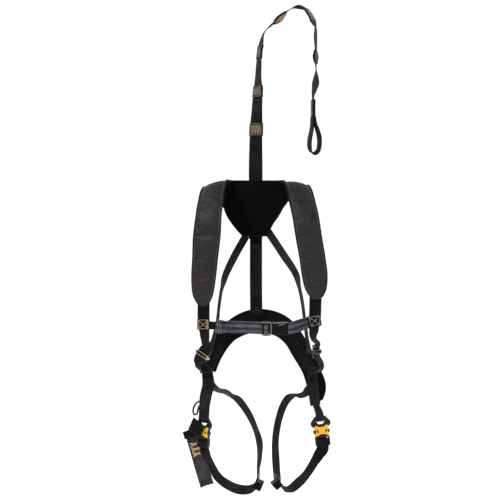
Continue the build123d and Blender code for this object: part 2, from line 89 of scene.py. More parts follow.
# ---- node materials
class Value:
    """A node's output that takes part in arithmetic: each operation adds a math node."""

    def __init__(self, shader, socket):
        self.shader, self.socket = shader, socket

    def math(self, operation, b=0.0, c=0.0):
        return self.shader.node("Math", {"operation": operation}, {0: self, 1: b, 2: c})

    def __add__(self, other):
        return self.math("ADD", other)

    def __sub__(self, other):
        return self.math("SUBTRACT", other)

    def __mul__(self, other):
        return self.math("MULTIPLY", other)

    def __truediv__(self, other):
        return self.math("DIVIDE", other)

    def madd(self, factor, shift):
        return self.math("MULTIPLY_ADD", factor, shift)

    def ramp(self, low, high, to_low=0.0, to_high=1.0):
        return self.shader.node("MapRange", {"interpolation_type": "SMOOTHSTEP"},
                                {0: self, 1: low, 2: high, 3: to_low, 4: to_high})


MATERIALS = {}


class Shader:
    """A material, listed in MATERIALS, and short calls that add nodes to it."""

    def __init__(self, name, **principled):
        self.material = bpy.data.materials.new(name)
        self.material.use_nodes = True
        MATERIALS[name] = self.material
        self.tree = self.material.node_tree
        self.bsdf = self.tree.nodes["Principled BSDF"]
        self.put(self.bsdf, principled)

    def put(self, node, inputs):
        for key, value in inputs.items():
            socket = node.inputs[key.replace("_", " ") if isinstance(key, str) else key]
            if isinstance(value, Value):
                self.tree.links.new(value.socket, socket)
            else:
                if socket.type == "RGBA" and len(value) == 3:
                    value = (*value, 1)
                socket.default_value = value

    def node(self, kind, attributes, inputs, output=0):
        made = self.tree.nodes.new("ShaderNode" + kind)
        give(made, **attributes)
        self.put(made, inputs)
        return Value(self, made.outputs[output])

    def place(self):
        return self.node("TexCoord", {}, {}, "Object")

    def web(self):
        """A strap's coordinates, and its distances across and along in metres."""
        uv = self.node("UVMap", {"uv_map": "web"}, {})
        return uv, *(self.node("SeparateXYZ", {}, {0: uv}, axis) for axis in (0, 1))

    def stretch(self, vector, scale):
        return self.node("Mapping", {}, {"Vector": vector, "Scale": scale})

    def noise(self, scale, vector=None, detail=3.0, rough=0.55):
        return self.node("TexNoise", {}, {"Scale": scale, "Detail": detail, "Roughness": rough,
                                          "Vector": vector or self.place()}, "Fac")

    def mix(self, factor, a, b):
        return self.node("Mix", {"data_type": "RGBA"}, {0: factor, 6: a, 7: b}, 2)

    def bump(self, height, distance, strength, normal=None):
        under = {"Normal": normal} if normal else {}
        return self.node("Bump", {}, {"Height": height, "Distance": distance,
                                      "Strength": strength, **under})

    def edge(self):
        """1 at a strap's selvedges and 0 in its middle."""
        return self.node("Attribute", {"attribute_name": "edge"}, {}, "Fac")

    def corners(self):
        return self.node("NewGeometry", {}, {}, "Pointiness")

    def finish(self, colour, normal, **more):
        self.put(self.bsdf, {"Base Color": colour, "Normal": normal, **more})


DULL = {"Sheen_Weight": 0.012, "Sheen_Roughness": 0.4, "Specular_IOR_Level": 0.07}
PICK = 0.0017            # pitch of webbing's crossing yarns
SLANT = 0.8              # how steeply its herringbone leans
PLAIN_WEAVE = 0.0011
MESH_HOLE = 0.0021
TURN = 2 * math.pi


def webbing_material(name, dark, light, wear_and_edge_highlight, sheen_tint, column=0.0045, stripes=0.0):
    """Narrow herringbone columns with a painted highlight on their ribs, long paler streaks that
    are part random tone and part painted highlight, flecks and rubbed selvedges.
    """
    shader = Shader(name, Roughness=0.55, Sheen_Tint=sheen_tint, **DULL)
    uv, across, along = shader.web()
    zigzag = across.math("PINGPONG", column)
    rib = ((along + zigzag * SLANT) / PICK * TURN).math("SINE").madd(0.5, 0.5)
    spine = (zigzag - column / 2).math("ABSOLUTE").ramp(column * 0.36, column * 0.5, 1.0, 0.0)
    # the raised yarns are coloured lighter: the weave's pattern, with a painted highlight on its
    # ribs
    yarn = rib * spine
    fleck = shader.noise(900.0, uv, 2.0)
    # lengthwise streaks of paler colour: part random tone, part painted highlight
    streak = shader.noise(1.0, shader.stretch(uv, (230.0, 26.0, 1.0)), 4.0, 0.6).ramp(0.3, 0.72)
    cloud = shader.noise(13.0, uv, 3.0).ramp(0.36, 0.64)
    tone = yarn.madd(0.35, cloud * 0.42) + streak.madd(0.5, -0.2) + fleck.madd(0.3, -0.18)
    if stripes:
        stripe = (across + stripes / 2).math("PINGPONG", stripes)
        tone = tone + stripe.ramp(stripes * 0.35, stripes * 0.6, -0.3, 0.16)
    rub = shader.edge().ramp(0.86, 0.99) * shader.noise(60.0, uv, 4.0).ramp(0.42, 0.72)
    colour = shader.mix(rub * 0.6, shader.mix(tone, dark, light), wear_and_edge_highlight)
    streak_normal = shader.bump(streak, 0.0006, 0.4)
    shader.finish(colour, shader.bump(yarn + fleck * 0.4, 0.00035, 0.55, streak_normal))


def mesh_fabric(name, dark, light):
    """Spacer mesh: staggered round holes over a knitted ground."""
    shader = Shader(name, Roughness=0.75, Sheen_Tint=(0.75, 0.72, 0.8), **DULL)
    uv, across, along = shader.web()
    flip = (along / MESH_HOLE).math("FLOOR") * (MESH_HOLE / 2)
    dx = ((across + flip) / MESH_HOLE).math("FRACT") - 0.5
    dy = (along / MESH_HOLE).math("FRACT") - 0.5
    solid = (dx * dx + dy * dy).math("SQRT").ramp(0.24, 0.42)
    fuzz = shader.noise(1400.0, uv, 2.0)
    tone = solid * shader.noise(30.0, uv, 4.0).madd(0.8, 0.2) + fuzz.madd(0.25, -0.12)
    shader.finish(shader.mix(tone, dark, light), shader.bump(solid + fuzz * 0.3, 0.0006, 0.7))


def pad_fabric(name):
    """Coated pack cloth over foam: fine plain weave, soft sheen, creases and rubbed edges."""
    shader = Shader(name, Roughness=0.5, Sheen_Weight=0.1, Sheen_Roughness=0.35,
                    Sheen_Tint=(0.95, 0.88, 0.86), Specular_IOR_Level=0.25)
    uv, across, along = shader.web()
    pitch = TURN / PLAIN_WEAVE
    weave = ((across * pitch).math("SINE") * (along * pitch).math("SINE")).madd(0.5, 0.5)
    crease = shader.noise(55.0, uv, 5.0, 0.6)
    colour = shader.mix(shader.noise(14.0, uv, 4.0) * 0.7 + weave * 0.25,
                        (0.006, 0.0046, 0.0045), (0.028, 0.0226, 0.022))
    rub = shader.edge().ramp(0.9, 1.0) * crease.ramp(0.45, 0.7)
    shader.finish(shader.mix(rub * 0.6, colour, (0.13, 0.12, 0.11)),
                  shader.bump(weave, 0.0002, 0.5, shader.bump(crease, 0.0022, 0.35)),
                  Roughness=crease.ramp(0.3, 0.7, 0.42, 0.6))


def thread_material(name, dark, light, sheen=0.3):
    shader = Shader(name, Roughness=0.45, Sheen_Weight=sheen, Specular_IOR_Level=0.15 + sheen)
    tone = shader.noise(900.0, detail=2.0).ramp(0.35, 0.65)
    shader.finish(shader.mix(tone, dark, light), shader.bump(shader.noise(2600.0), 0.0003, 0.6))


def moulded_material(name, dark, light, rough=0.34, coat=0.0, edge_highlight_colour=None, gloss=0.5):
    """Moulded plastic: fine spark texture, faint flow marks and paler corners, a painted highlight
    along the edges.
    """
    shader = Shader(name, Coat_Weight=coat, Coat_Roughness=0.2, Specular_IOR_Level=gloss)
    flow = shader.noise(60.0, detail=4.0)
    # painted highlight: sharp convex corners are coloured paler
    wear_and_edge_highlight = shader.corners().ramp(0.52, 0.62)
    colour = shader.mix(flow * 0.5 + wear_and_edge_highlight * 0.7, dark, light)
    # where a pale corner colour is given: a stronger painted highlight on the corners
    if edge_highlight_colour:
        colour = shader.mix(wear_and_edge_highlight * 0.8, colour, edge_highlight_colour)
    shader.finish(colour, shader.bump(shader.noise(3200.0, detail=2.0), 0.0002, 0.35),
                  Roughness=flow.ramp(0.3, 0.7, rough - 0.06, rough + 0.1))


def metal_material(name, dark, light, rough, metallic=1.0, chip_and_highlight_colour=None):
    """Plated or painted metal with brushed streaks, pits and paler edges that are chipped wear and
    a painted highlight.
    """
    shader = Shader(name, Metallic=metallic, Specular_IOR_Level=0.5)
    brushed = shader.noise(1.0, shader.stretch(shader.place(), (400.0, 400.0, 2600.0)), 3.0)
    pits = shader.noise(700.0, detail=4.0)
    colour = shader.mix(brushed.ramp(0.3, 0.7), dark, light)
    if chip_and_highlight_colour:
        # paler colour on the corners, broken up by the pits noise: chipped wear and a painted
        # highlight
        colour = shader.mix(shader.corners().ramp(0.51, 0.6) * pits.ramp(0.4, 0.62), colour, chip_and_highlight_colour)
    shader.finish(colour, shader.bump(brushed, 0.0001, 0.3),
                  Roughness=pits.ramp(0.3, 0.7, rough - 0.08, rough + 0.12))


webbing_material("webbing", (0.0003, 0.0003, 0.0004), (0.0185, 0.0176, 0.0185),
                 (0.055, 0.052, 0.053), (0.85, 0.85, 0.9))
webbing_material("body_webbing", (0.0022, 0.0018, 0.0018), (0.032, 0.0285, 0.028),
                 (0.07, 0.066, 0.066), (0.85, 0.85, 0.9))
webbing_material("rib_webbing", (0.006, 0.006, 0.008), (0.042, 0.043, 0.05), (0.09, 0.09, 0.1),
                 (0.85, 0.85, 0.95))
webbing_material("chest_webbing", (0.018, 0.0189, 0.023), (0.15, 0.155, 0.174),
                 (0.22, 0.22, 0.22), (0.8, 0.82, 0.95), stripes=0.0085)
webbing_material("pale_webbing", (0.012, 0.012, 0.0125), (0.085, 0.083, 0.083), (0.14, 0.14, 0.14),
                 (0.85, 0.85, 0.9))
mesh_fabric("yoke_mesh", (0.0002, 0.0002, 0.0003), (0.004, 0.003, 0.004))
mesh_fabric("belt_mesh", (0.001, 0.0007, 0.0008), (0.015, 0.0115, 0.0125))
pad_fabric("pad_fabric")
webbing_material("binding", (0.003, 0.0028, 0.0028), (0.015, 0.014, 0.014), (0.05, 0.045, 0.045),
                 (0.9, 0.85, 0.85), column=0.002)
thread_material("thread_gold", (0.42, 0.24, 0.09), (0.78, 0.54, 0.27))
thread_material("thread_tan", (0.27, 0.2, 0.13), (0.52, 0.43, 0.31))
thread_material("thread_grey", (0.08, 0.073, 0.068), (0.2, 0.185, 0.17))
thread_material("thread_black", (0.001, 0.001, 0.001), (0.007, 0.007, 0.007), 0.02)
# black buckle plastic whose corners carry a painted highlight in pale grey
moulded_material("buckle_plastic", (0.0015, 0.0013, 0.0013), (0.01, 0.0088, 0.0085),
                 edge_highlight_colour=(0.24, 0.235, 0.235), gloss=0.2)
# pale plastic for the buckle's rails: a painted highlight
moulded_material("highlight_plastic", (0.09, 0.088, 0.086), (0.3, 0.29, 0.285), 0.24)
# near-black plastic for the inlays: painted shadow in slots and grooves
moulded_material("shadow_plastic", (0.0006, 0.0005, 0.0006), (0.003, 0.0028, 0.003), 0.6, gloss=0.05)
moulded_material("yellow_cover", (0.74, 0.37, 0.008), (0.96, 0.6, 0.035), 0.36, 0.15)
metal_material("black_metal", (0.003, 0.003, 0.004), (0.012, 0.0115, 0.014), 0.36, 0.3,
               chip_and_highlight_colour=(0.2, 0.2, 0.21))
metal_material("bare_steel", (0.045, 0.044, 0.043), (0.2, 0.195, 0.19), 0.3)
metal_material("brass_finish", (0.42, 0.32, 0.12), (0.7, 0.57, 0.3), 0.3)
# The record's slot for each material whose own name isn't one. Thread has none.
SLOTS = {"binding": "pad_fabric", "pale_webbing": "webbing", "body_webbing": "webbing",
         "rib_webbing": "webbing", "highlight_plastic": "buckle_plastic",
         "shadow_plastic": "buckle_plastic",
         **dict.fromkeys(("thread_gold", "thread_tan", "thread_grey", "thread_black"))}


# ---- straps
def catmull(points, count_for):
    """Points on a centripetal Catmull-Rom curve, with the control index of each."""
    out = []
    for i, (p1, p2) in enumerate(zip(points, points[1:])):
        p0 = points[i - 1] if i else p1 * 2 - p2
        p3 = points[i + 2] if i + 2 < len(points) else p2 * 2 - p1
        t1 = (p1 - p0).length ** 0.5
        t2 = t1 + (p2 - p1).length ** 0.5
        t3 = t2 + (p3 - p2).length ** 0.5
        count = count_for(p1, p2)
        for k in range(count):
            t = t1 + (t2 - t1) * k / count

            def between(a, b, start, end):
                return a * ((end - t) / (end - start)) + b * ((t - start) / (end - start))

            a1, a2, a3 = between(p0, p1, 0.0, t1), between(p1, p2, t1, t2), between(p2, p3, t2, t3)
            b1, b2 = between(a1, a2, 0.0, t2), between(a2, a3, t1, t3)
            out.append((between(b1, b2, t1, t2), i + k / count))
    out.append((points[-1].copy(), float(len(points) - 1)))
    return out


def blend_rows(values, where):
    """The value between two control rows."""
    i = min(int(where), len(values) - 2)
    t = smooth(where - i)
    return values[i] * (1 - t) + values[i + 1] * t


def woven_mesh():
    """An empty mesh with what the woven materials read: places in the weave, and its edges."""
    made = bmesh.new()
    return made, made.loops.layers.uv.new("web"), made.verts.layers.float.new("edge")


class Strap:
    """A strip through rows of a centre (mm) and a direction across, on which stitches can lie."""

    def __init__(self, rows, width, thickness=WEB, step=STEP, wave=0.0006, seed=0.0):
        centres = [Vector(row[:3]) * MM for row in rows]
        wide = [Vector(row[3:]).normalized() for row in rows]
        self.width, self.thickness = width, thickness
        dense = catmull(centres, lambda a, b: max(2, int((b - a).length / step)))
        self.centres = [p for p, _ in dense]
        self.across, self.normals, self.lengths = [], [], []
        total = 0.0
        for i, (p, where) in enumerate(dense):
            ahead = self.centres[min(i + 1, len(dense) - 1)]
            behind = self.centres[max(i - 1, 0)]
            tangent = (ahead - behind).normalized()
            side = blend_rows(wide, where)
            side = (side - tangent * side.dot(tangent)).normalized()
            self.across.append(side)
            self.normals.append(tangent.cross(side).normalized())
            if i:
                total += (p - self.centres[i - 1]).length
            self.lengths.append(total)
        self.length = total
        self.wave, self.seed = wave, seed

    def nearest(self, point):
        """Distance along of the row nearest to a point."""
        return min(zip(((p - point).length for p in self.centres), self.lengths))[1]

    def ripple(self, along, u):
        """Slow waves of a used strap, a little stronger at its edges."""
        ends = smooth(min(along, self.length - along) / 0.03)
        slow = noise.noise(Vector((along * 9, u * 6, self.seed)))
        fast = noise.noise(Vector((along * 34, u * 22, self.seed + 7)))
        return ends * self.wave * (slow + 0.5 * fast * abs(2 * u / self.width))

    def middle(self, along):
        """Centre, direction across and normal at a distance along."""
        i, t = span(self.lengths, along)
        t = min(max(t, 0.0), 1.0)
        centre, side, normal = (line[i].lerp(line[i + 1], t)
                                for line in (self.centres, self.across, self.normals))
        return centre, side.normalized(), normal.normalized()

    def at(self, along, u, lift):
        """Point at a distance along and u across, lifted from the middle plane, and the normal."""
        centre, side, normal = self.middle(along)
        return centre + side * u + normal * (lift + self.ripple(along, u)), normal

    def mesh(self, name, start=0.0, end=None):
        end = self.length if end is None else end
        half, thick = self.width / 2, self.thickness / 2
        top = [((k / (CUTS - 1) * 2 - 1) * (half - thick * 0.8), thick) for k in range(CUTS)]
        bend, drop = half - thick * 0.25, thick * 0.72
        selvedge = [(bend, drop), (half, 0.0), (bend, -drop)]
        ring = (top + selvedge + [(u, -n) for u, n in reversed(top)]
                + [(-u, -n) for u, n in selvedge])
        stations = [s for s in self.lengths if start < s < end]
        stations = [start] + [s for s in stations if s - start > 0.001 and end - s > 0.001] + [end]
        made, uv, edge = woven_mesh()
        rings = []
        for s in stations:
            rings.append([made.verts.new(self.at(s, u, n)[0]) for u, n in ring])
            for vert, (u, _) in zip(rings[-1], ring):
                vert[edge] = abs(u) / half
        count = len(ring)
        for r in range(len(rings) - 1):
            for k in range(count):
                m = (k + 1) % count
                face = made.faces.new((rings[r][k], rings[r][m], rings[r + 1][m], rings[r + 1][k]))
                corners = ((k, r), (m, r), (m, r + 1), (k, r + 1))
                for loop, (col, row) in zip(face.loops, corners):
                    loop[uv].uv = (ring[col][0], stations[row])
                face.smooth = True
        for verts, s in ((rings[0], stations[0]), (list(reversed(rings[-1])), stations[-1])):
            face = made.faces.new(tuple(reversed(verts)))
            for loop in face.loops:
                loop[uv].uv = (0.0, s)
        bmesh.ops.recalc_face_normals(made, faces=made.faces)
        return from_bmesh(made, name)

    def lay(self, name, nodes=(), body="harness", start=0.0, end=None, material="webbing"):
        """Makes a piece of the stretch between two distances along."""
        return place_piece(self.mesh(name, start, end), body, material, nodes)


def from_bmesh(made, name):
    data = bpy.data.meshes.new(name)
    made.to_mesh(data)
    made.free()
    piece = bpy.data.objects.new(name, data)
    bpy.context.scene.collection.objects.link(piece)
    return piece


def dress(piece, material):
    piece.data.materials.clear()
    piece.data.materials.append(MATERIALS[material])
    return piece


def place_piece(piece, body, material="webbing", stands_for=()):
    """Gives a piece its material and its body; a piece given the two bodies that it lies between is
    only fixed where it stands, attached to neither.
    """
    dress(piece, material)
    if isinstance(body, tuple):
        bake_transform(piece)
    else:
        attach(piece, body)
    if stands_for:
        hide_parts(*stands_for)
    return piece


# ---- thread
SQUARE = ((-1, -1), (1, -1), (1, 1), (-1, 1), (-1, -1))


class Thread:
    """Collects stitches of one colour on one body into one mesh."""
    SIDES = 6
    GUIDES = Vector((0.31, 0.77, 0.55)), Vector((0.9, -0.1, 0.2))

    def __init__(self):
        self.made = bmesh.new()

    def tube(self, path, radius, taper=True):
        """A closed tube along points; with taper its ends dive and thin, as at a needle hole."""
        rings = []
        for i, point in enumerate(path):
            ahead, behind = path[min(i + 1, len(path) - 1)], path[max(i - 1, 0)]
            tangent = (ahead - behind).normalized()
            steep = abs(tangent.dot(self.GUIDES[0])) >= 0.9
            side = tangent.cross(self.GUIDES[steep]).normalized()
            up = tangent.cross(side)
            size = radius * (0.45 if taper and i in (0, len(path) - 1) else 1.0)
            turns = [TURN * k / self.SIDES for k in range(self.SIDES)]
            spokes = [side * math.cos(a) + up * math.sin(a) for a in turns]
            rings.append([self.made.verts.new(point + spoke * size) for spoke in spokes])
        for low, high in zip(rings, rings[1:]):
            for k in range(self.SIDES):
                m = (k + 1) % self.SIDES
                self.made.faces.new((low[k], low[m], high[m], high[k])).smooth = True
        self.made.faces.new(tuple(reversed(rings[0])))
        self.made.faces.new(tuple(rings[-1]))

    def stitch(self, surface, a, b, side, radius=0.00045):
        """One stitch from (along, across) a to b on a side of a surface."""
        path = []
        for t, rise in ((0, -0.3), (0.15, 0.55), (0.5, 0.8), (0.85, 0.55), (1, -0.3)):
            along, u = a[0] + (b[0] - a[0]) * t, a[1] + (b[1] - a[1]) * t
            lift = surface.thickness / 2 + radius * rise
            path.append(surface.at(along, u, side * lift)[0])
        self.tube(path, radius)

    def run(self, surface, corners, side, pitch=0.004, gap=0.16, radius=0.00045):
        """A straight-stitched line through (along, across) corners."""
        for a, b in zip(corners, corners[1:]):
            distance = math.hypot(b[0] - a[0], b[1] - a[1])
            count = max(1, round(distance / pitch))
            for k in range(count):
                t0, t1 = (k + gap / 2) / count, (k + 1 - gap / 2) / count
                self.stitch(surface, (a[0] + (b[0] - a[0]) * t0, a[1] + (b[1] - a[1]) * t0),
                            (a[0] + (b[0] - a[0]) * t1, a[1] + (b[1] - a[1]) * t1), side, radius)

    def box_cross(self, surface, along, length, half, side, crosses=1, radius=0.0005):
        """The box with crosses that holds two layers together."""
        low = along - length / 2
        self.run(surface, [(along + length / 2 * x, half * y) for x, y in SQUARE], side,
                 radius=radius)
        for k in range(crosses):
            a, b = low + length * k / crosses, low + length * (k + 1) / crosses
            for lean in (-1, 1):
                self.run(surface, [(a, lean * half), (b, -lean * half)], side, radius=radius)

    def finish(self, name, body, material):
        bmesh.ops.recalc_face_normals(self.made, faces=self.made.faces)
        return place_piece(from_bmesh(self.made, name), body, material)


# ---- padded pieces
RIM = 0.0028             # radius of a pad's rounded rim
BAND = 0.0066            # distance of the seam from the edge
OFFSETS = (0.0, 0.0007, 0.0018, 0.0034, 0.0052, 0.0066, 0.0081, 0.011, 0.0165)
INNER_CELLS = 10
PAD_STEP = 0.0045        # length of one row of a pad's mesh
PRESSURE = 4.0           # of the cloth simulation's filling
SLACK = 0.03             # share by which the cloth is larger than its panel
CLOTH_FRAMES = 20
SEAM_WIDTH = 0.0012


def spread(length):
    """Grid lines from 0 to length, close together at the rim and at the seam."""
    scale = min(1.0, length / 2 / (OFFSETS[-1] + 0.004))
    low = [offset * scale for offset in OFFSETS]
    gap = (length - 2 * low[-1]) / INNER_CELLS
    middle = [low[-1] + gap * k for k in range(1, INNER_CELLS)]
    return low + middle + [length - value for value in reversed(low)]


class Pad:
    """A foam pad between two edges, given in rows (mm): front and back grids that share a rim."""

    def __init__(self, rows, thick, flip=1, open_start=False, relief=None):
        first = catmull([Vector(row[:3]) * MM for row in rows],
                        lambda a, b: max(2, int((b - a).length / PAD_STEP)))
        counts = [sum(1 for _, w in first if int(w) == i) for i in range(len(rows) - 1)]
        second = [Vector(row[3:]) * MM for row in rows]
        dense = iter(counts)
        other = catmull(second, lambda a, b: next(dense))
        self.edges = [(p, q) for (p, _), (q, _) in zip(first, other)]
        self.edges[-1] = (first[-1][0], other[-1][0])
        self.thickness = 0.0     # stitches measure their lift from the grid itself
        middles = [(a + b) / 2 for a, b in self.edges]
        self.lengths = [0.0]
        for a, b in zip(middles, middles[1:]):
            self.lengths.append(self.lengths[-1] + (b - a).length)
        outline = [a for a, _ in self.edges] + [b for _, b in self.edges]
        for a, b in self.edges[-1:] if open_start else (self.edges[0], self.edges[-1]):
            outline += [a.lerp(b, k / 30) for k in range(31)]
        self.grids, self.distance = {1: [], -1: []}, []
        for i, (a, b) in enumerate(self.edges):
            ahead, behind = self.edges[min(i + 1, len(self.edges) - 1)], self.edges[max(i - 1, 0)]
            width = (b - a).length
            front, back, reach = [], [], []
            for offset in spread(width):
                t = offset / width
                tangent = ahead[0].lerp(ahead[1], t) - behind[0].lerp(behind[1], t)
                normal = tangent.cross(b - a).normalized() * flip
                point = a.lerp(b, t)
                d = min((point - spot).length for spot in outline)
                lift = self.profile(d, thick) + (relief(point) if relief else 0)
                front.append(point + normal * lift)
                back.append(point - normal * min(self.profile(d, thick), thick * 0.4))
                reach.append(d)
            self.grids[1].append(front)
            self.grids[-1].append(back)
            self.distance.append(reach)

    @staticmethod
    def profile(d, thick):
        """Half thickness at a distance from the outline: rim, band, seam channel, crowned panel."""
        rim = math.sqrt(max(0.0, 1 - (1 - min(d / RIM, 1)) ** 2)) * thick * 0.34
        swell = math.sin(min(d / BAND, 1) * math.pi) * thick * 0.03
        channel = thick * 0.1 * math.exp(-((d - BAND) / 0.0016) ** 2)
        crown = smooth((d - BAND) / 0.022) * thick * 0.16
        return rim + swell - channel + crown

    def across(self, i, u):
        a, b = self.edges[i]
        width = (b - a).length
        return span(spread(width), u + width / 2)

    def at(self, along, u, lift):
        """Point on the front (lift above 0) or the back, at a distance along and at u across."""
        low, t = span(self.lengths, along)
        grid = self.grids[1 if lift >= 0 else -1]
        corners = []
        for i in (low, low + 1):
            k, f = self.across(i, u)
            corners += [grid[i][k], grid[i][k + 1], f]
        near, far = corners[0].lerp(corners[1], corners[2]), corners[3].lerp(corners[4], corners[5])
        side = (corners[1] - corners[0]).normalized()
        normal = (far - near).cross(side).normalized()
        outward = near - self.grids[-1 if lift >= 0 else 1][low][self.across(low, u)[0]]
        if normal.dot(outward) < 0:
            normal = -normal
        return near.lerp(far, t) + normal * abs(lift), normal

    def mesh(self, name):
        made, uv, edge = woven_mesh()
        rows, columns = len(self.edges), len(self.grids[1][0])

        def key(side, i, k):
            """The rim, whose side is 0, belongs to both grids."""
            return 0 if k in (0, columns - 1) or i in (0, rows - 1) else side, i, k

        verts = {}
        for side, grid in self.grids.items():
            for i, k in product(range(rows), range(columns)):
                spot = key(side, i, k)
                if spot not in verts:
                    both = self.grids[1][i][k] + self.grids[-1][i][k]
                    verts[spot] = made.verts.new(grid[i][k] if spot[0] else both / 2)
                    verts[spot][edge] = 1 - min(self.distance[i][k] / 0.004, 1)
        self.order = list(verts)
        for side in self.grids:
            for i, k in product(range(rows - 1), range(columns - 1)):
                square = [(i, k), (i, k + 1), (i + 1, k + 1), (i + 1, k)]
                face = made.faces.new([verts[key(side, *corner)] for corner in square])
                face.smooth = True
                face.material_index = 0 if side == 1 else 1
                for loop, (row, column) in zip(face.loops, square):
                    width = (self.edges[row][1] - self.edges[row][0]).length
                    loop[uv].uv = (spread(width)[column] - width / 2, self.lengths[row])
        bmesh.ops.recalc_face_normals(made, faces=made.faces)
        return from_bmesh(made, name)

    def line(self, inset, side, start, end):
        """(along, across) corners of a line inside one edge, between insets from the two ends."""
        corners, room = [], self.lengths[-1] - start - end
        count = int(room / STEP)
        for n in range(count + 1):
            along = start + room * n / count
            low, t = span(self.lengths, along)
            near, far = ((b - a).length for a, b in self.edges[low:low + 2])
            corners.append((along, side * ((near * (1 - t) + far * t) / 2 - inset)))
        return corners

    def on(self, corners, lift):
        return [self.at(along, u, lift)[0] for along, u in corners]

    def take(self, piece):
        """Reads the simulated points back, so that stitches lie on them."""
        for (side, i, k), vertex in zip(self.order, piece.data.vertices):
            for grid_side in ((1, -1) if side == 0 else (side,)):
                self.grids[grid_side][i][k] = vertex.co.copy()


def inflate(piece, pinned, cap):
    """Cloth filled by pressure between its pinned seams; no point moves further than the cap."""
    rest = [vertex.co.copy() for vertex in piece.data.vertices]
    piece.vertex_groups.new(name="seams").add(pinned, 1.0, "REPLACE")
    cloth = piece.modifiers.new("fill", "CLOTH")
    give(cloth.settings, quality=6, mass=0.2, tension_stiffness=12, compression_stiffness=12,
         shear_stiffness=4, bending_stiffness=0.2, use_pressure=True,
         uniform_pressure_force=PRESSURE, shrink_min=-SLACK, vertex_group_mass="seams")
    cloth.settings.effector_weights.gravity = 0
    scene = bpy.context.scene
    for frame_number in range(1, CLOTH_FRAMES + 1):
        scene.frame_set(frame_number)
    result = piece.evaluated_get(bpy.context.evaluated_depsgraph_get()).to_mesh()
    moved = [vertex.co.copy() for vertex in result.vertices]
    piece.modifiers.remove(cloth)
    scene.frame_set(1)
    for vertex, old, new in zip(piece.data.vertices, rest, moved):
        shift = new - old
        vertex.co = old + shift * min(1.0, cap / max(shift.length, 1e-9))


def make_pad(name, node, pad, materials, cap=0.005):
    piece = pad.mesh(name)
    for material in materials:
        piece.data.materials.append(MATERIALS[material])
    pinned = [n for n, (side, i, k) in enumerate(pad.order) if side != 1
              or pad.distance[i][k] < RIM or abs(pad.distance[i][k] - BAND) < SEAM_WIDTH]
    inflate(piece, pinned, cap)
    pad.take(piece)
    level = piece.modifiers.new("smooth", "SUBSURF")
    level.levels = level.render_levels = 1
    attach(piece, "harness")
    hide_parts(node)


# ---- pads
PAD, YOKE, YOKE_TAB, BELT = 0.014, 0.008, 0.006, 0.008     # thicknesses
BINDING = 0.0023         # radius of the mesh panels' bound edges
PAD_LEFT_ROWS = [
    (-74, -13, -2, -101, -13, -92), (-82, -17, -2, -113, -15, -89),
    (-88, -36, -3, -138, -26, -62), (-94, -82, -8, -164, -78, -30),
    (-98, -130, -22, -176, -126, -44), (-102, -176, -66, -184, -170, -84),
    (-108, -206, -118, -190, -198, -122), (-112, -214, -190, -198, -206, -190),
    (-119, -216, -250, -200, -208, -250), (-127, -216, -322, -203, -208, -322),
    (-136, -215, -372, -198, -208, -372), (-146, -214, -394, -187, -210, -394),
    (-160, -212, -407, -175, -211, -407)]
PAD_RIGHT_ROWS = [
    (74, -13, -2, 100, -13, -72), (82, -17, -3, 113, -15, -69), (88, -36, -6, 140, -26, -50),
    (92, -82, -14, 166, -78, -24), (97, -130, -30, 178, -126, -42),
    (103, -176, -74, 189, -170, -90), (113, -206, -126, 197, -198, -130),
    (123, -214, -190, 206, -206, -190), (134, -216, -250, 216, -208, -250),
    (143, -216, -312, 223, -208, -312), (153, -215, -352, 219, -208, -352),
    (166, -214, -373, 210, -209, -373), (180, -212, -386, 196, -211, -386)]


def flat_rows(depth, spans):
    """Pad rows in one plane, from (left, right, height) spans."""
    return [(left, depth, height, right, depth, height) for left, right, height in spans]


YOKE_ROWS = flat_rows(-4.6, [
    (-79, 79, -2), (-88, 91, -34), (-99, 105, -66), (-105, 90, -90), (-95, 74, -118),
    (-78, 56, -144), (-57, 43, -170), (-42, 36, -184)])
YOKE_TAB_ROWS = flat_rows(-5.2, [
    (-29, 26, -176), (-22, 20, -190), (-14, 14, -207)])
BELT_ROWS = [
    (-172, -122, -592, -132, -104, -622), (-158, -90, -557, -125, -78, -602),
    (-142, -58, -526, -115, -50, -580), (-114, -16, -480, -94, -14, -548),
    (-88, 2, -458, -69, 0, -523), (-42, 6, -432, -29, 5, -504), (7, 7, -422, 10, 6, -497),
    (69, 5, -432, 65, 4, -510), (111, 0, -455, 98, -4, -536), (140, -16, -486, 120, -20, -571),
    (163, -38, -522, 139, -46, -601), (185, -76, -562, 154, -80, -628),
    (205, -110, -608, 163, -106, -660), (222, -122, -655, 172, -120, -694),
    (219, -125, -688, 184, -123, -713), (210, -126, -708, 197, -125, -719)]


def near_line(point, a, b):
    """Distance from a point to the line between a and b, seen from the front."""
    p, a, b = (Vector((v[0], v[-1])) for v in (point * 1000, a, b))
    t = min(max((p - a).dot(b - a) / (b - a).length_squared, 0), 1)
    return (p - a - (b - a) * t).length


def yoke_relief(point):
    """Webbing that shows through the mesh: two straps that cross, and the tether in the middle."""
    lines = (((-70, -10), (34, -180), 15), ((72, -10), (-36, -180), 15), ((0, 0), (0, -190), 21))
    lift = sum(smooth((half + 3 - near_line(point, a, b)) / 5) for a, b, half in lines)
    return 0.0009 * min(lift, 2.4)


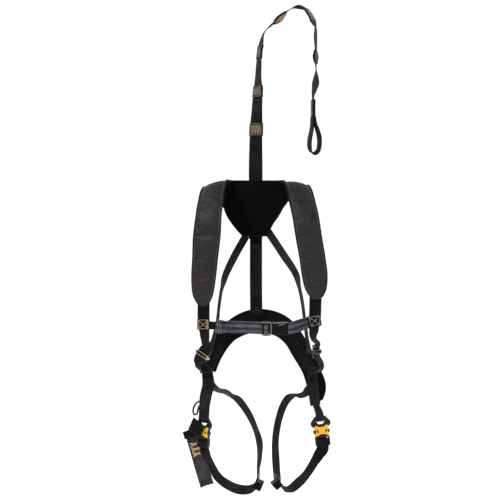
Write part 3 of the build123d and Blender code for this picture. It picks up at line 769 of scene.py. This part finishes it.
def pads():
    black, seam, piping = Thread(), Thread(), Thread()
    for side, rows, flip in (("left", PAD_LEFT_ROWS, -1), ("right", PAD_RIGHT_ROWS, 1)):
        pad = Pad(rows, PAD, flip, open_start=True)
        make_pad("shoulder_pad_cushion_" + side, "shoulder_pad_" + side, pad,
                 ("pad_fabric", "yoke_mesh"))
        for edge in (-1, 1):
            seam.run(pad, pad.line(BAND, edge, 0.004, 0.02)[::2], 1, 0.0045, 0.25, 0.00055)
            piping.tube(pad.on(pad.line(0.0012, edge, 0.0, 0.0015), 0.0004), 0.0016, taper=False)
    yoke = Pad(YOKE_ROWS, YOKE, relief=yoke_relief)
    make_pad("yoke_panel", "back_pad", yoke, ("yoke_mesh", "belt_mesh"), cap=0.002)
    tab = Pad(YOKE_TAB_ROWS, YOKE_TAB).mesh("yoke_tab")
    for material in ("yoke_mesh", "belt_mesh"):
        tab.data.materials.append(MATERIALS[material])
    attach(tab, "harness")
    belt = Pad(BELT_ROWS, BELT, -1)
    make_pad("lumbar_belt_cushion", "lumbar_belt", belt, ("belt_mesh", "yoke_mesh"),
             cap=0.0025)
    for pad in (yoke, belt):
        for edge in (-1, 1):
            rim = pad.on(pad.line(0.0016, edge, 0.001, 0.001), 0.0002)
            piping.tube(rim, BINDING, taper=False)
            black.run(pad, pad.line(0.006, edge, 0.006, 0.006), 1, 0.004, 0.2, 0.0004)
    for end, half in ((0.0015, 0.079), (yoke.lengths[-1] - 0.0015, 0.038)):
        rim = yoke.on([(end, half * k / 20) for k in range(-20, 21)], 0.0002)
        piping.tube(rim, BINDING, taper=False)
    piping.finish("edge_piping", "harness", "binding")
    black.finish("panel_stitches", "harness", "thread_black")
    seam.finish("pad_stitches", "harness", "thread_grey")


pads()


# ---- straps
def strap(name, rows, width, nodes=(), body="harness", material="webbing", thickness=WEB,
          wave=0.0006):
    made = Strap(rows, width, thickness, wave=wave, seed=len(name) * 1.7 + rows[0][0] * 0.01)
    made.lay(name, nodes, body, material=material)
    return made


UP, ACROSS = (0, 0, 1), (1, 0, 0)


def facing(direction, points):
    """Strap rows that all lie the same way."""
    return [(*point, *direction) for point in points]


class Place:
    """A piece's own axes in the frame, turned about Y and Z in degrees, like the CAD piece's."""

    def __init__(self, origin, turn_y, turn_z):
        self.origin = Vector(origin)
        turn = Euler((0, 0, math.radians(turn_z))).to_matrix()
        self.turn = Euler((0, math.radians(turn_y), 0)).to_matrix() @ turn

    def point(self, *local):
        return tuple(self.origin + self.turn @ Vector(local))

    def metres(self, *local):
        return Vector(self.point(*local)) * MM

    def rows(self, depths, side=1):
        """Strap rows at (depth, height) spots of the piece's own middle plane."""
        return [(*self.point(0, y, z), *(self.turn @ Vector((side, 0, 0)))) for y, z in depths]


LEG_PLACES = {"left": Place((-166, -158, -805), 4, -40),
              "right": Place((206.7, -158, -800.5), -7, 10)}
TORSO_PLACES = {"left": Place((-167, -203, -556), 32, -35),
                "right": Place((188, -203, -546), 0, 62)}

TETHER_ROWS = [
    (0, 6, -62, 1, 0, 0), (-1, 4, 10, 1, 0, 0), (0, 3, 144, 0.92, -0.39, 0),
    (4, 3, 249, 0.73, -0.68, 0), (6, 3, 290, 0.61, -0.79, 0), (8, 3, 353, 0.4, -0.92, 0),
    (12, 3, 419, 0.29, -0.96, 0), (16, 3, 442, 0.3, -0.95, -0.07),
    (26, 3, 481, 0.1, -0.99, -0.06), (52, 3, 509, 0, -1, 0), (77, 3, 528, -0.17, -0.96, 0.2),
    (111, 3, 558, 0.06, -0.99, -0.1), (141, 3, 566, -0.03, -0.9, -0.43),
    (166, 3, 555, -0.2, -0.95, -0.24), (180, 3, 535, -0.28, -0.94, -0.16),
    (190, 3, 512, -0.35, -0.92, -0.17), (195, 3, 500, -0.17, -0.98, 0),
    (195, 3, 468, -0.26, -0.97, 0), (196, 3, 425, -0.17, -0.99, 0),
    (195, 3, 402, -0.33, -0.94, 0), (196, 3, 373, -0.1, -1, 0), (195, 3, 314, 0.48, -0.88, 0),
    (190, 3, 290, 0.29, -0.95, 0), (187, 3, 272, 0.1, -1, 0), (187, 3, 200, 0.1, -1, 0)]
EYE_ROWS = [
    (183.4, 3, 262, -0.1, 1, 0), (183.2, 3, 212, -0.1, 1, 0), (184.2, 3, 188, -0.15, 1, 0),
    (182.5, 3, 164, -0.22, 0.97, 0), (177, 3, 136, -0.24, 0.96, 0.03),
    (176, 3, 110, -0.22, 0.96, 0.1), (182, 3, 92.5, -0.18, 0.95, 0.2),
    (192, 3, 88, -0.1, 0.95, 0.24), (201.5, 3, 95, -0.18, 0.95, 0.2),
    (206.5, 3, 115, -0.22, 0.96, 0.1), (206, 3, 139, -0.24, 0.96, 0.03),
    (200.5, 3, 162, -0.2, 0.97, 0), (193, 3, 184, -0.15, 1, 0), (190.8, 3, 204, -0.1, 1, 0),
    (190.6, 3, 262, -0.1, 1, 0)]
STROKES = 12             # of a bartack's zigzag
SWING = ("harness", "tether_end", (0.19, 0.003, 0.52), (0.19, 0.003, 0.43))
# Sewn loops on the tether: middle (X, Z), length, thread colour
BARTACKS = [
    ((-2, 165), 42, "thread_gold"), ((-1, 292), 38, "thread_tan"), ((13, 420), 44, "thread_grey"),
    ((78, 533), 52, "thread_gold"), ((181, 541), 46, "thread_tan"), ((195, 402), 42, "thread_grey")]


def near(surface, x, z):
    """Distance along a strap of the spot nearest to (x, z), in millimetres, seen from the front."""
    spots = [(Vector((p.x * 1000 - x, p.z * 1000 - z)).length, s)
             for p, s in zip(surface.centres, surface.lengths)]
    return min(spots)[1]


def sub_strap(base, start, end, lift, wider, thickness=0.0019):
    """A second layer that lies on another strap between two distances along it."""
    made = Strap.__new__(Strap)
    made.width, made.thickness = base.width + wider, thickness
    steps = max(4, int((end - start) / 0.003))
    made.centres, made.across, made.normals = [], [], []
    made.lengths = [(end - start) * k / steps for k in range(steps + 1)]
    for along in made.lengths:
        spot, normal = base.at(start + along, 0.0, lift)
        made.centres.append(spot)
        made.across.append(base.middle(start + along)[1])
        made.normals.append(normal)
    made.length, made.wave, made.seed = end - start, 0.0003, start
    return made


def tether():
    main = Strap(TETHER_ROWS, TETHER_WEB, seed=1)
    fixed_end = near(main, 192, 520)
    main.lay("tether_webbing", ("tether_lower", "tether_arc"), end=fixed_end)
    main.lay("tether_tail_webbing", ("tether_tail",), SWING, fixed_end)
    eye = Strap(EYE_ROWS, TETHER_WEB, thickness=0.0028, seed=3, wave=0.0003)
    eye.lay("tether_eye_webbing", ("tether_end_loop",), "tether_end")
    lining = sub_strap(eye, 0.055, eye.length - 0.055, -0.0026, -0.004)
    lining.lay("tether_eye_lining", body="tether_end")
    threads = {}
    for number, ((x, z), length, colour) in enumerate(BARTACKS, 1):
        middle = near(main, x, z)
        body = "harness" if number < 6 else SWING
        half = length / 2000
        layers = [sub_strap(main, middle - half, middle + half, side * 0.0023, 0.003)
                  for side in (1, -1)]
        for layer_name, layer in zip(("outer", "inner"), layers):
            layer.lay(f"tether_loop_{number}_{layer_name}", body=body)
        thread = threads.setdefault((colour, body), Thread())
        for layer, side in zip(layers, (1, -1)):
            long, wide = layer.length / 2 - 0.003, layer.width / 2 - 0.004
            corners = [(half + long * x, wide * y) for x, y in SQUARE]
            thread.run(layer, corners, side, radius=0.00055)
            zigzag = [(half + (long - 0.003) * (1 if k % 2 else -1),
                       wide * 0.86 * (2 * k / STROKES - 1)) for k in range(STROKES + 1)]
            thread.run(layer, zigzag, side, pitch=0.0045, radius=0.00065)
    sewn = threads.setdefault(("thread_tan", "tether_end"), Thread())
    for side in (-1, 1):
        for k in range(14):
            along = 0.006 + 0.0035 * k
            sewn.run(eye, [(along, -0.018), (along + 0.0017, 0.018)], side, 0.0045, radius=0.0006)
    for (colour, body), thread in threads.items():
        place = {"harness": "fixed", "tether_end": "end"}.get(body, "tail")
        thread.finish(f"tether_stitches_{colour[7:]}_{place}", body, colour)


tether()

HIP_LEFT = [
    (-156, -114, -594, 0.86, 0.3, -0.4), (-155, -134, -624, 0.93, 0.25, -0.25),
    (-152, -142, -655, 1, 0.1, 0), (-160, -152, -693, 1, -0.1, 0),
    (-163.5, -166, -724, 0.89, -0.45, 0), (-165, -170, -751, 0.87, -0.49, 0),
    (-166, -172, -766, 0.86, -0.5, 0)]
HIP_RIGHT = [
    (178, -134, -600, 0.66, 0.75, 0), (181, -146, -645, 0.85, 0.5, 0),
    (184, -148, -692, 0.88, 0.45, 0), (188, -150, -722, 0.85, 0.5, 0)]
DIAGONAL_LEFT = [
    (-32, -2, -182, 0.87, 0, -0.5), (-69, -2, -247, 0.87, 0.1, -0.48),
    (-100, -12, -312, 0.7, 0.5, -0.48), (-112, -45, -358, 0.25, 0.72, -0.65),
    (-118, -86, -402, 0.25, 0.72, -0.65), (-125, -140, -466, 0.25, 0.72, -0.65),
    (-136, -176, -512, 0.3, 0.76, -0.58), (-147, -196, -545, 0.6, 0.6, -0.53)]
DIAGONAL_RIGHT = [
    (39, -2, -168, 0.85, 0, 0.52), (88, -2, -242, 0.85, -0.1, 0.5),
    (130, -12, -308, 0.7, -0.5, 0.5), (142, -45, -358, 0.25, -0.72, 0.65),
    (150, -86, -406, 0.25, -0.72, 0.65), (156, -140, -467, 0.25, -0.72, 0.65),
    (161, -172, -512, 0.3, -0.72, 0.62), (167, -190, -550, 0.4, -0.7, 0.58)]
SPINE = facing(ACROSS, [
    (0, 3, -70), (0, 3, -190), (0, -2, -230), (0, -2, -330), (1, 0, -440)])
LEG_LEFT = [
    (-152, -128, -646, 0.85, -0.52, -0.05), (-135, -98, -672, 0.88, -0.48, 0.08),
    (-110, -58, -685, 0.85, -0.45, 0.25), (-88, -24, -698, 0.77, -0.64, 0.04),
    (-62, -2, -714, 0.65, -0.72, 0.25), (-29, 8, -758, 0.52, -0.8, 0.3),
    (-3, 0, -811, 0.37, -0.85, 0.38), (12, -20, -861, 0.48, -0.74, 0.46),
    (11, -52, -909, 0.4, -0.73, 0.56), (7, -88, -946, 0.22, -0.68, 0.7),
    (6, -116, -972, 0.06, -0.66, 0.75), (-16, -140, -989, 0.08, -0.53, 0.84),
    (-51, -154, -989, 0.35, -0.42, 0.84), (-89, -166, -972, 0.55, -0.5, 0.67),
    (-122, -172, -945, 0.64, -0.63, 0.44), (-141, -173, -908, 0.55, -0.8, 0.25),
    (-153, -165, -888, 0.6, -0.75, 0.25), (-159, -158, -872, 0.66, -0.72, 0.2)]
LEG_RIGHT = [
    (178, -134, -667, 0.2, -0.1, -0.97), (160, -126, -680, -0.12, -0.5, -0.86),
    (150, -96, -687, -0.3, -0.5, -0.8), (144, -60, -692, -0.69, -0.57, -0.44),
    (133, -26, -698, -0.75, -0.64, 0.14), (112, -4, -708, -0.69, -0.67, 0.27),
    (92, 6, -735, -0.63, -0.74, 0.23), (74, 4, -785, -0.56, -0.79, 0.26),
    (64, -10, -843, -0.56, -0.76, 0.34), (64, -42, -904, -0.65, -0.64, 0.41),
    (67, -82, -950, -0.64, -0.57, 0.51), (70, -112, -974, -0.61, -0.59, 0.52),
    (87, -136, -988, -0.35, -0.64, 0.68), (107, -148, -989, -0.57, -0.6, 0.56),
    (134, -160, -966, -0.7, -0.5, 0.51), (162, -168, -934, -0.67, -0.65, 0.35),
    (184, -171, -899, -0.7, -0.6, 0.3), (199, -162, -876, -0.8, -0.45, 0.3)]
# (depth, height) of the webbing round an adjuster's loose bar, in the buckle's own axes
LEG_WRAP = [
    (8.5, -57), (8.5, -50), (8.2, -44), (6.8, -38), (6.4, -32.5), (5, -28.6), (2, -27.2),
    (-1, -28.6), (-2.4, -32.5), (-3.3, -39), (-5, -44), (-5.2, -50)]
TORSO_WRAP = [
    (-4.6, 25), (-4.8, 19), (-4, 14.5), (-0.8, 8), (0.3, 2.6), (0.6, -3), (0.3, -8.6),
    (-1.4, -12), (-4.2, -16), (-4.8, -20)]
SHOULDER_ROWS = {
    "left": [
        (-165, -209, -392, 1, 0, 0), (-165, -209, -450, 1, 0, 0),
        (-162, -208, -492, 0.8, -0.6, -0.05), (-160, -206, -516, 0.68, -0.72, -0.1)],
    "right": [
        (186, -209, -372, 1, 0, 0), (184, -209, -440, 1, 0, 0), (181, -208, -480, 0.8, 0.6, 0),
        (181, -204, -508, 0.5, 0.85, 0)]}
LOOP_ROWS = {
    "left": [
        (-182, -207, -590, 0.55, -0.7, -0.45), (-180, -200, -605, 0.58, -0.68, -0.45),
        (-171, -186, -607, 0.66, -0.6, -0.44), (-162, -166, -597, 0.8, -0.3, -0.42),
        (-160, -146, -599, 0.88, 0.1, -0.42), (-160, -138, -620, 0.92, 0.25, -0.3)],
    "right": [
        (197, -205, -573, 0.5, 0.86, 0), (203, -207, -587, 0.5, 0.86, 0),
        (203, -206, -601, 0.5, 0.86, 0), (194, -200, -613, 0.5, 0.86, 0),
        (185, -186, -615, 0.55, 0.8, 0), (181, -164, -616, 0.62, 0.76, 0),
        (179, -148, -630, 0.7, 0.7, 0)]}


FOLD_ROWS = {
    "left": [(14, -121, -962, 0.86, -0.1, -0.5), (8, -129, -976, 0.86, -0.2, -0.5),
             (0, -137, -992, 0.84, -0.2, -0.5)],
    "right": [(56, -117, -964, -0.72, -0.2, -0.66), (64, -126, -974, -0.7, -0.2, -0.7),
              (76, -135, -985, -0.66, -0.2, -0.72)]}


def torso_straps():
    for side, place in TORSO_PLACES.items():
        rows = SHOULDER_ROWS[side] + place.rows(TORSO_WRAP) + LOOP_ROWS[side]
        band = Strap(rows, SHOULDER_WEB, seed=5, wave=0.0005, step=0.0025)
        first = len(SHOULDER_ROWS[side])
        cuts = [band.nearest(Vector(rows[first + n][:3]) * MM) for n in (1, 5, 9)]
        bar = "torso_bar_" + side
        band.lay("shoulder_strap_" + side, ("shoulder_webbing_" + side,), end=cuts[0])
        above = ("harness", bar, place.metres(0, 0, 17), place.metres(0, 0, 3))
        below = ("harness", bar, place.metres(0, 0, -17), place.metres(0, 0, -8))
        band.lay("torso_wrap_upper_" + side, (), above, cuts[0], cuts[1])
        band.lay("torso_wrap_lower_" + side, (), below, cuts[1], cuts[2])
        band.lay("torso_fold_" + side, ("torso_loop_" + side,), start=cuts[2])


def leg_straps():
    made = {}
    for side, rows in (("left", LEG_LEFT), ("right", LEG_RIGHT)):
        place = LEG_PLACES[side]
        wrap = place.rows(LEG_WRAP, 1 if side == "left" else -1)
        band = Strap(rows + wrap, LEG_WEB, seed=9, wave=0.0007)
        made[side] = band
        cut = band.nearest(place.metres(0, 8.5, -50))
        band.lay("leg_webbing_" + side, ("leg_strap_" + side,), end=cut)
        pinch = ("harness", "leg_bar_" + side, place.metres(0, 2, -46), place.metres(0, 2, -37))
        band.lay("leg_wrap_" + side, (), pinch, cut)
        free_end = place.rows([(10.6, -60), (9.9, -46), (9.4, -30), (9.2, -13)])
        strap("leg_free_end_" + side, free_end, 0.034)
    return made


def hip_straps():
    made = {}
    for side, rows, top, start in (("left", HIP_LEFT, -670, (-165, -153, -724, 0.97, -0.25, 0)),
                                   ("right", HIP_RIGHT, -665, (188, -147, -716, 0.85, 0.5, 0))):
        place = LEG_PLACES[side]
        slip = ("harness", "tongue_" + side, Vector((start[0] / 1000, -0.15, top / 1000)),
                place.metres(0, 0, 50))
        made[side] = strap("hip_strap_" + side, rows, SHOULDER_WEB, ("hip_webbing_" + side,),
                           "harness" if side == "left" else slip, "body_webbing")
        carry = [start] + place.rows([(-3.4, 52), (-3.6, 45), (-3.5, 35), (-2.4, 30.4), (0, 29.2),
                                      (2.4, 30.4), (3.5, 35), (3.6, 44), (3.4, 54)])
        strap("buckle_tab_" + side, carry, NARROW_WEB, ("leg_tab_" + side,), slip, "rib_webbing")
    return made


def leg_folds():
    """The strap's folded and sewn corner in each crotch bend."""
    tan = Thread()
    for name, rows in FOLD_ROWS.items():
        fold = strap("leg_fold_" + name, rows, 0.027, thickness=0.0036)
        for side in (1, -1):
            for along in (0.004, 0.0095):
                tan.run(fold, [(along, -0.0105), (along, 0.0105)], side, radius=0.0006)
    tan.finish("fold_stitches", "harness", "thread_tan")


torso_straps()
legs = leg_straps()
leg_folds()
hips = hip_straps()
for end, route in (("left", DIAGONAL_LEFT), ("right", DIAGONAL_RIGHT)):
    strap("diagonal_web_" + end, route, NARROW_WEB, ("diagonal_strap_" + end,),
          material="rib_webbing")
spine = strap("spine_web", SPINE, SPINE_WEB, ("spine_strap",), material="body_webbing")


# ---- chest strap
BUCKLE = Vector((50, -226, -474))
CHEST_LEFT = facing(UP, [
    (-112, -222.5, -469), (-60, -226, -470), (0, -224, -472), (10, -221, -473), (19, -220, -474),
    (24.5, -225, -474), (27, -230.6, -474), (31, -231.6, -474), (35, -230.6, -474),
    (37.6, -225, -474), (33, -219, -474), (20, -217.2, -474), (0, -219, -473), (-34, -222, -471)])
CHEST_RIGHT = [
    (57, -2.9, 17, 15), (30, -4.6, 9, 7), (4, -5.2, 1, 0), (-4.6, -4.9, 0, 0), (-6.4, 0, 0, 0),
    (-4.6, 4.9, 0, 0), (4, 5.2, 1, 0), (26, 4.4, 8, 6), (54, 3.8, 16, 14)]
REAR_BAR = 55.8          # from the buckle's middle to the bar that holds the right strap
KEEPER_FRONT = [
    (-127, -221.5, -467, 0.12, 0, 1), (-117, -223.5, -469, 0.12, 0, 1),
    (-105, -225.4, -470, 0.12, 0, 1)]
KEEPER_BACK = [(-127, -216.8, -467, 0.12, 0, 1), (-105, -219.6, -470, 0.12, 0, 1)]
CHEST_TAB = facing(UP, [
    (-182, -212.6, -466), (-150, -213.6, -465), (-120, -219.6, -466.5)])
PATCH_LEFT = facing(UP, [
    (-185, -215, -462), (-148, -215.4, -462)])
PATCH_RIGHT = [
    (160, -214.6, -457, 0.1, 0, 1), (182, -212.6, -451, 0.12, 0, 1),
    (203, -211.5, -448, 0.12, 0, 1)]


def rod(name, path, steps, radius, body, material):
    """A smooth round piece along points in millimetres."""
    made = Thread()
    made.SIDES = 10
    curve = catmull([Vector(p) * MM for p in path], lambda a, b: steps)
    made.tube([p for p, _ in curve], radius, taper=False)
    return made.finish(name, body, material)


def buckle_highlight_rails():
    """Rounded mouldings with a pale skin: painted highlights along the buckle's top edges and
    prong.
    """
    for name, radius, body, path in (
            ("ladder_rail_top", 0.0021, "chest_male",
             [(16, -230.5, -455.5), (30, -231.4, -455.2), (45, -231, -455.6)]),
            ("ladder_rail_mouth", 0.0017, "chest_male",
             [(46, -230.4, -456.5), (46.4, -231, -474), (46, -230.4, -491.5)]),
            ("socket_rail_top", 0.0018, "harness",
             [(52, -233.4, -457), (66, -234, -456), (82, -233.6, -455.5), (97, -233.2, -455.5)]),
            ("socket_rail_arm", 0.0014, "harness",
             [(70, -233.6, -464), (78, -234.4, -462.5), (88, -234, -458)])):
        rod(name, path, 5, radius, body, "highlight_plastic")


def chest():
    release = ("harness", "chest_male", (-0.1, -0.226, -0.47), (0.012, -0.226, -0.47))
    sleeve = {"material": "chest_webbing", "thickness": 0.0022, "wave": 0.0002}
    patch = {"thickness": 0.0018, "wave": 0.0002}
    strap("chest_web_left", CHEST_LEFT, CHEST_WEB, ("chest_strap_left",), release, "chest_webbing")
    rows = [(BUCKLE.x + REAR_BAR + x, BUCKLE.y + y + lean, BUCKLE.z + rise, 0, 0, 1)
            for x, y, rise, lean in CHEST_RIGHT]
    strap("chest_web_right", rows, CHEST_WEB - 0.001, ("chest_strap_right",),
          material="chest_webbing", thickness=0.0018)
    keeper = strap("keeper_sleeve", KEEPER_FRONT, CHEST_WEB + 0.004, ("chest_keeper",), **sleeve)
    strap("keeper_back", KEEPER_BACK, CHEST_WEB + 0.004, **sleeve)
    strap("chest_tab", CHEST_TAB, NARROW_WEB, ("chest_tab_left",))
    patch_left = strap("chest_patch_left", PATCH_LEFT, 0.034, **patch)
    patch_right = strap("chest_patch_right", PATCH_RIGHT, 0.036, **patch)
    gold, tan, long = Thread(), Thread(), patch_left.length
    for side in (1, -1):
        gold.box_cross(patch_left, long / 2, long - 0.006, 0.0138, side, 1, 0.0007)
        for along, radius in ((0.0055, 0.0006), (long - 0.0028, 0.0007), (long - 0.0055, 0.0007),
                              (long - 0.0085, 0.0007)):
            gold.run(patch_left, [(along, -0.0115), (along, 0.0115)], side, radius=radius)
        tan.box_cross(patch_right, patch_right.length - 0.02, 0.03, 0.0135, side, 1, 0.0008)
        for along in (0.007, 0.0155):
            tan.run(keeper, [(along - 0.006, 0.0195), (along + 0.006, -0.0195)], side,
                    radius=0.0007)
    gold.finish("chest_stitches_gold", "harness", "thread_gold")
    tan.finish("chest_stitches_tan", "harness", "thread_tan")


chest()
buckle_highlight_rails()


# ---- lineman's loop, gear loop and the leg strap's free end
def side_loop():
    place = Place((-205.5, -116, -812), -16, 0)
    down = [(-1.6, 0), (-1.6, -40), (-1.7, -78), (-3.4, -88), (-5.6, -102), (-5.6, -130),
            (-5.6, -158), (-4.2, -170)]
    spots = down + [(0, -175)] + [(-y, z) for y, z in reversed(down)]
    rows = []
    for y, z in spots:
        yaw = math.radians(20 * smooth((-z - 60) / 110))
        rows.append((*place.point(0, y, z),
                     *(place.turn @ Vector((math.cos(yaw), math.sin(yaw), 0)))))
    band = Strap(rows, TETHER_WEB, thickness=0.0026, seed=12, wave=0.0005)
    band.lay("lineman_webbing", ("lineman_loop",), "lineman", material="pale_webbing")
    gold = Thread()
    half, tall = 0.0165, 0.0145
    for side in (1, -1):
        for start in (0.031, 0.047, 0.063):
            for shift in (0, 0.0019, 0.0038):
                for lean in (-1, 1):
                    ends = [(start + shift, lean * half),
                            (start + shift + tall - 0.004, -lean * half)]
                    gold.run(band, ends, side, 0.0046, 0.08, 0.0009)
    gold.finish("lineman_stitches", "lineman", "thread_gold")
    top = [(-231, -123, -822, 0.2, 0.1, 1), (-214, -125, -816, 0.25, 0, 1),
           (-196, -126, -808, 0.25, 0, 1), (-180, -131, -800, 0.2, 0, 1)]
    strap("loop_carrier", top, NARROW_WEB, ())


def gear_cord():
    """Thin cord loop beside the left buckle."""
    route = [(-181, -152, -708), (-194, -153, -720), (-200, -153, -737), (-196, -153, -751),
             (-188, -152, -748), (-184, -152, -734), (-180, -152, -722)]
    piece = rod("gear_cord", route, 8, 0.0028, "harness", "binding")
    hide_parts("gear_loop")


def inlay(name, place, centre, size, lean, body):
    """Small flat dark block let into a buckle part, in the buckle's own axes (millimetres): a
    painted shadow in a slot or groove.
    """
    made = bmesh.new()
    bmesh.ops.create_cube(made, size=1.0)
    tilt = Matrix.Rotation(math.radians(lean), 3, "Y")
    for corner in made.verts:
        local = tilt @ Vector(corner.co[k] * size[k] for k in range(3)) + Vector(centre)
        corner.co = place.metres(*local)
    bmesh.ops.bevel(made, geom=made.edges[:], offset=0.0002, segments=2, profile=0.5,
                    affect="EDGES")
    bmesh.ops.recalc_face_normals(made, faces=made.faces)
    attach(dress(from_bmesh(made, name), "shadow_plastic"), body)


def inlays():
    for side, place in TORSO_PLACES.items():
        # a dark strip in the bar's groove: painted shadow
        inlay("torso_bar_groove_" + side, place, (0, -6.1, -3), (39.6, 0.9, 6.8), 0,
              "torso_bar_" + side)
    for side, place in LEG_PLACES.items():
        # dark blocks in the cover's two vents: painted shadow
        for name, turn in (("outer", -1), ("inner", 1)):
            inlay(f"cover_vent_shadow_{name}_{side}", place, (turn * 13.6, -7.9, -1.6), (4.4, 0.6, 8.8),
                  turn * 18, "harness")


side_loop()
gear_cord()
inlays()
strap("leg_strap_end_left", [(*middle, 0.54, -0.33, 0.77) for middle in (
    (-207, -146, -780), (-196, -155, -787), (-183.5, -164, -796), (-170.5, -173, -804.5))],
      LEG_WEB + 0.006, ("leg_strap_tail_left",))


# ---- stitches on the body's straps
INSET = 0.004            # of a sewn box from the strap's selvedge
CROTCH_Z = -966          # height of the leg straps' bend, in millimetres


def body_stitches():
    tan, dark = Thread(), Thread()
    for side in (1, -1):
        for end, x, length in (("left", 4, 0.03), ("right", 60, 0.028)):
            tan.box_cross(legs[end], near(legs[end], x, CROTCH_Z), length, LEG_WEB / 2 - INSET,
                          side, 1, 0.0006)
        for band in legs.values():
            dark.box_cross(band, 0.02, 0.034, LEG_WEB / 2 - INSET, side, 1, 0.0005)
        for middle, length, crosses in ((0.145, 0.022, 1), (spine.length - 0.016, 0.026, 2)):
            dark.box_cross(spine, middle, length, SPINE_WEB / 2 - INSET, side, crosses, 0.0005)
        for band in hips.values():
            dark.box_cross(band, 0.03, 0.036, SHOULDER_WEB / 2 - INSET, side, 1, 0.0005)
    tan.finish("leg_stitches", "harness", "thread_tan")
    dark.finish("strap_stitches", "harness", "thread_black")


body_stitches()


# ---- hardware
def hardware():
    """The CAD hardware keeps its shape, with its edges broken and its own material."""
    for row in frame["record"]["subparts"]:
        piece = frame["nodes"][row["node"]]
        if piece.hide_render:
            continue
        material = MATERIALS[row["material_slot"]]
        if not piece.material_slots:
            piece.data.materials.append(material)
        for holder in piece.material_slots:
            holder.material = material
        give(piece.modifiers.new("weld", "WELD"), merge_threshold=0.00002)
        give(piece.modifiers.new("edges", "BEVEL"), width=0.0005, segments=3, limit_method="ANGLE",
             angle_limit=math.radians(40), use_clamp_overlap=True)
        give(piece.modifiers.new("normals", "WEIGHTED_NORMAL"), keep_sharp=False)


hardware()


# ---- stage, light and camera
def stage():
    bpy.ops.mesh.primitive_circle_add(vertices=96, radius=2.1, fill_type="NGON",
                                      location=(0, 0, FLOOR_Z))
    floor = bpy.context.object
    floor.name = "floor"
    paper = Shader("floor_paper", Base_Color=(0.93, 0.93, 0.93), Roughness=0.8,
                   Specular_IOR_Level=0.1, Emission_Color=(1, 1, 1), Emission_Strength=0.45)
    floor.data.materials.append(paper.material)


def light(name, place, target, size, power):
    data = bpy.data.lights.new(name, "AREA")
    data.shape = "RECTANGLE"
    data.size, data.size_y = size
    data.energy = power
    lamp = bpy.data.objects.new(name, data)
    lamp.location = place
    lamp.rotation_euler = (Vector(target) - Vector(place)).to_track_quat("-Z", "Y").to_euler()
    bpy.context.scene.collection.objects.link(lamp)


def studio():
    middle = (0, 0, -0.3)
    light("key", (-1.6, -2.4, 2.2), middle, (1.3, 1.3), 100)
    light("fill", (2.6, -2.4, 0.5), middle, (1.4, 2.2), 26)
    for name, x in (("rim_left", -2.2), ("rim_right", 2.2)):
        light(name, (x, 1.6, 0.8), middle, (0.8, 2.2), 30)
    world = bpy.data.worlds.new("studio")
    bpy.context.scene.world = world
    world.use_nodes = True
    nodes, links = world.node_tree.nodes, world.node_tree.links
    path = nodes.new("ShaderNodeLightPath")
    level = nodes.new("ShaderNodeMapRange")
    level.inputs["To Min"].default_value = WORLD_LIGHT
    level.inputs["To Max"].default_value = WORLD_BACKDROP
    links.new(path.outputs["Is Camera Ray"], level.inputs["Value"])
    links.new(level.outputs[0], nodes["Background"].inputs["Strength"])
    nodes["Background"].inputs["Color"].default_value = (1, 1, 1, 1)
    bpy.context.scene.view_settings.view_transform = "Standard"


def camera():
    data = bpy.data.cameras.new("camera")
    data.lens = CAMERA_LENS
    data.sensor_width = 36
    piece = bpy.data.objects.new("camera", data)
    piece.location = CAMERA_PLACE
    piece.rotation_euler = (math.radians(90), 0, 0)
    bpy.context.scene.collection.objects.link(piece)
    bpy.context.scene.camera = piece


stage()
studio()
camera()
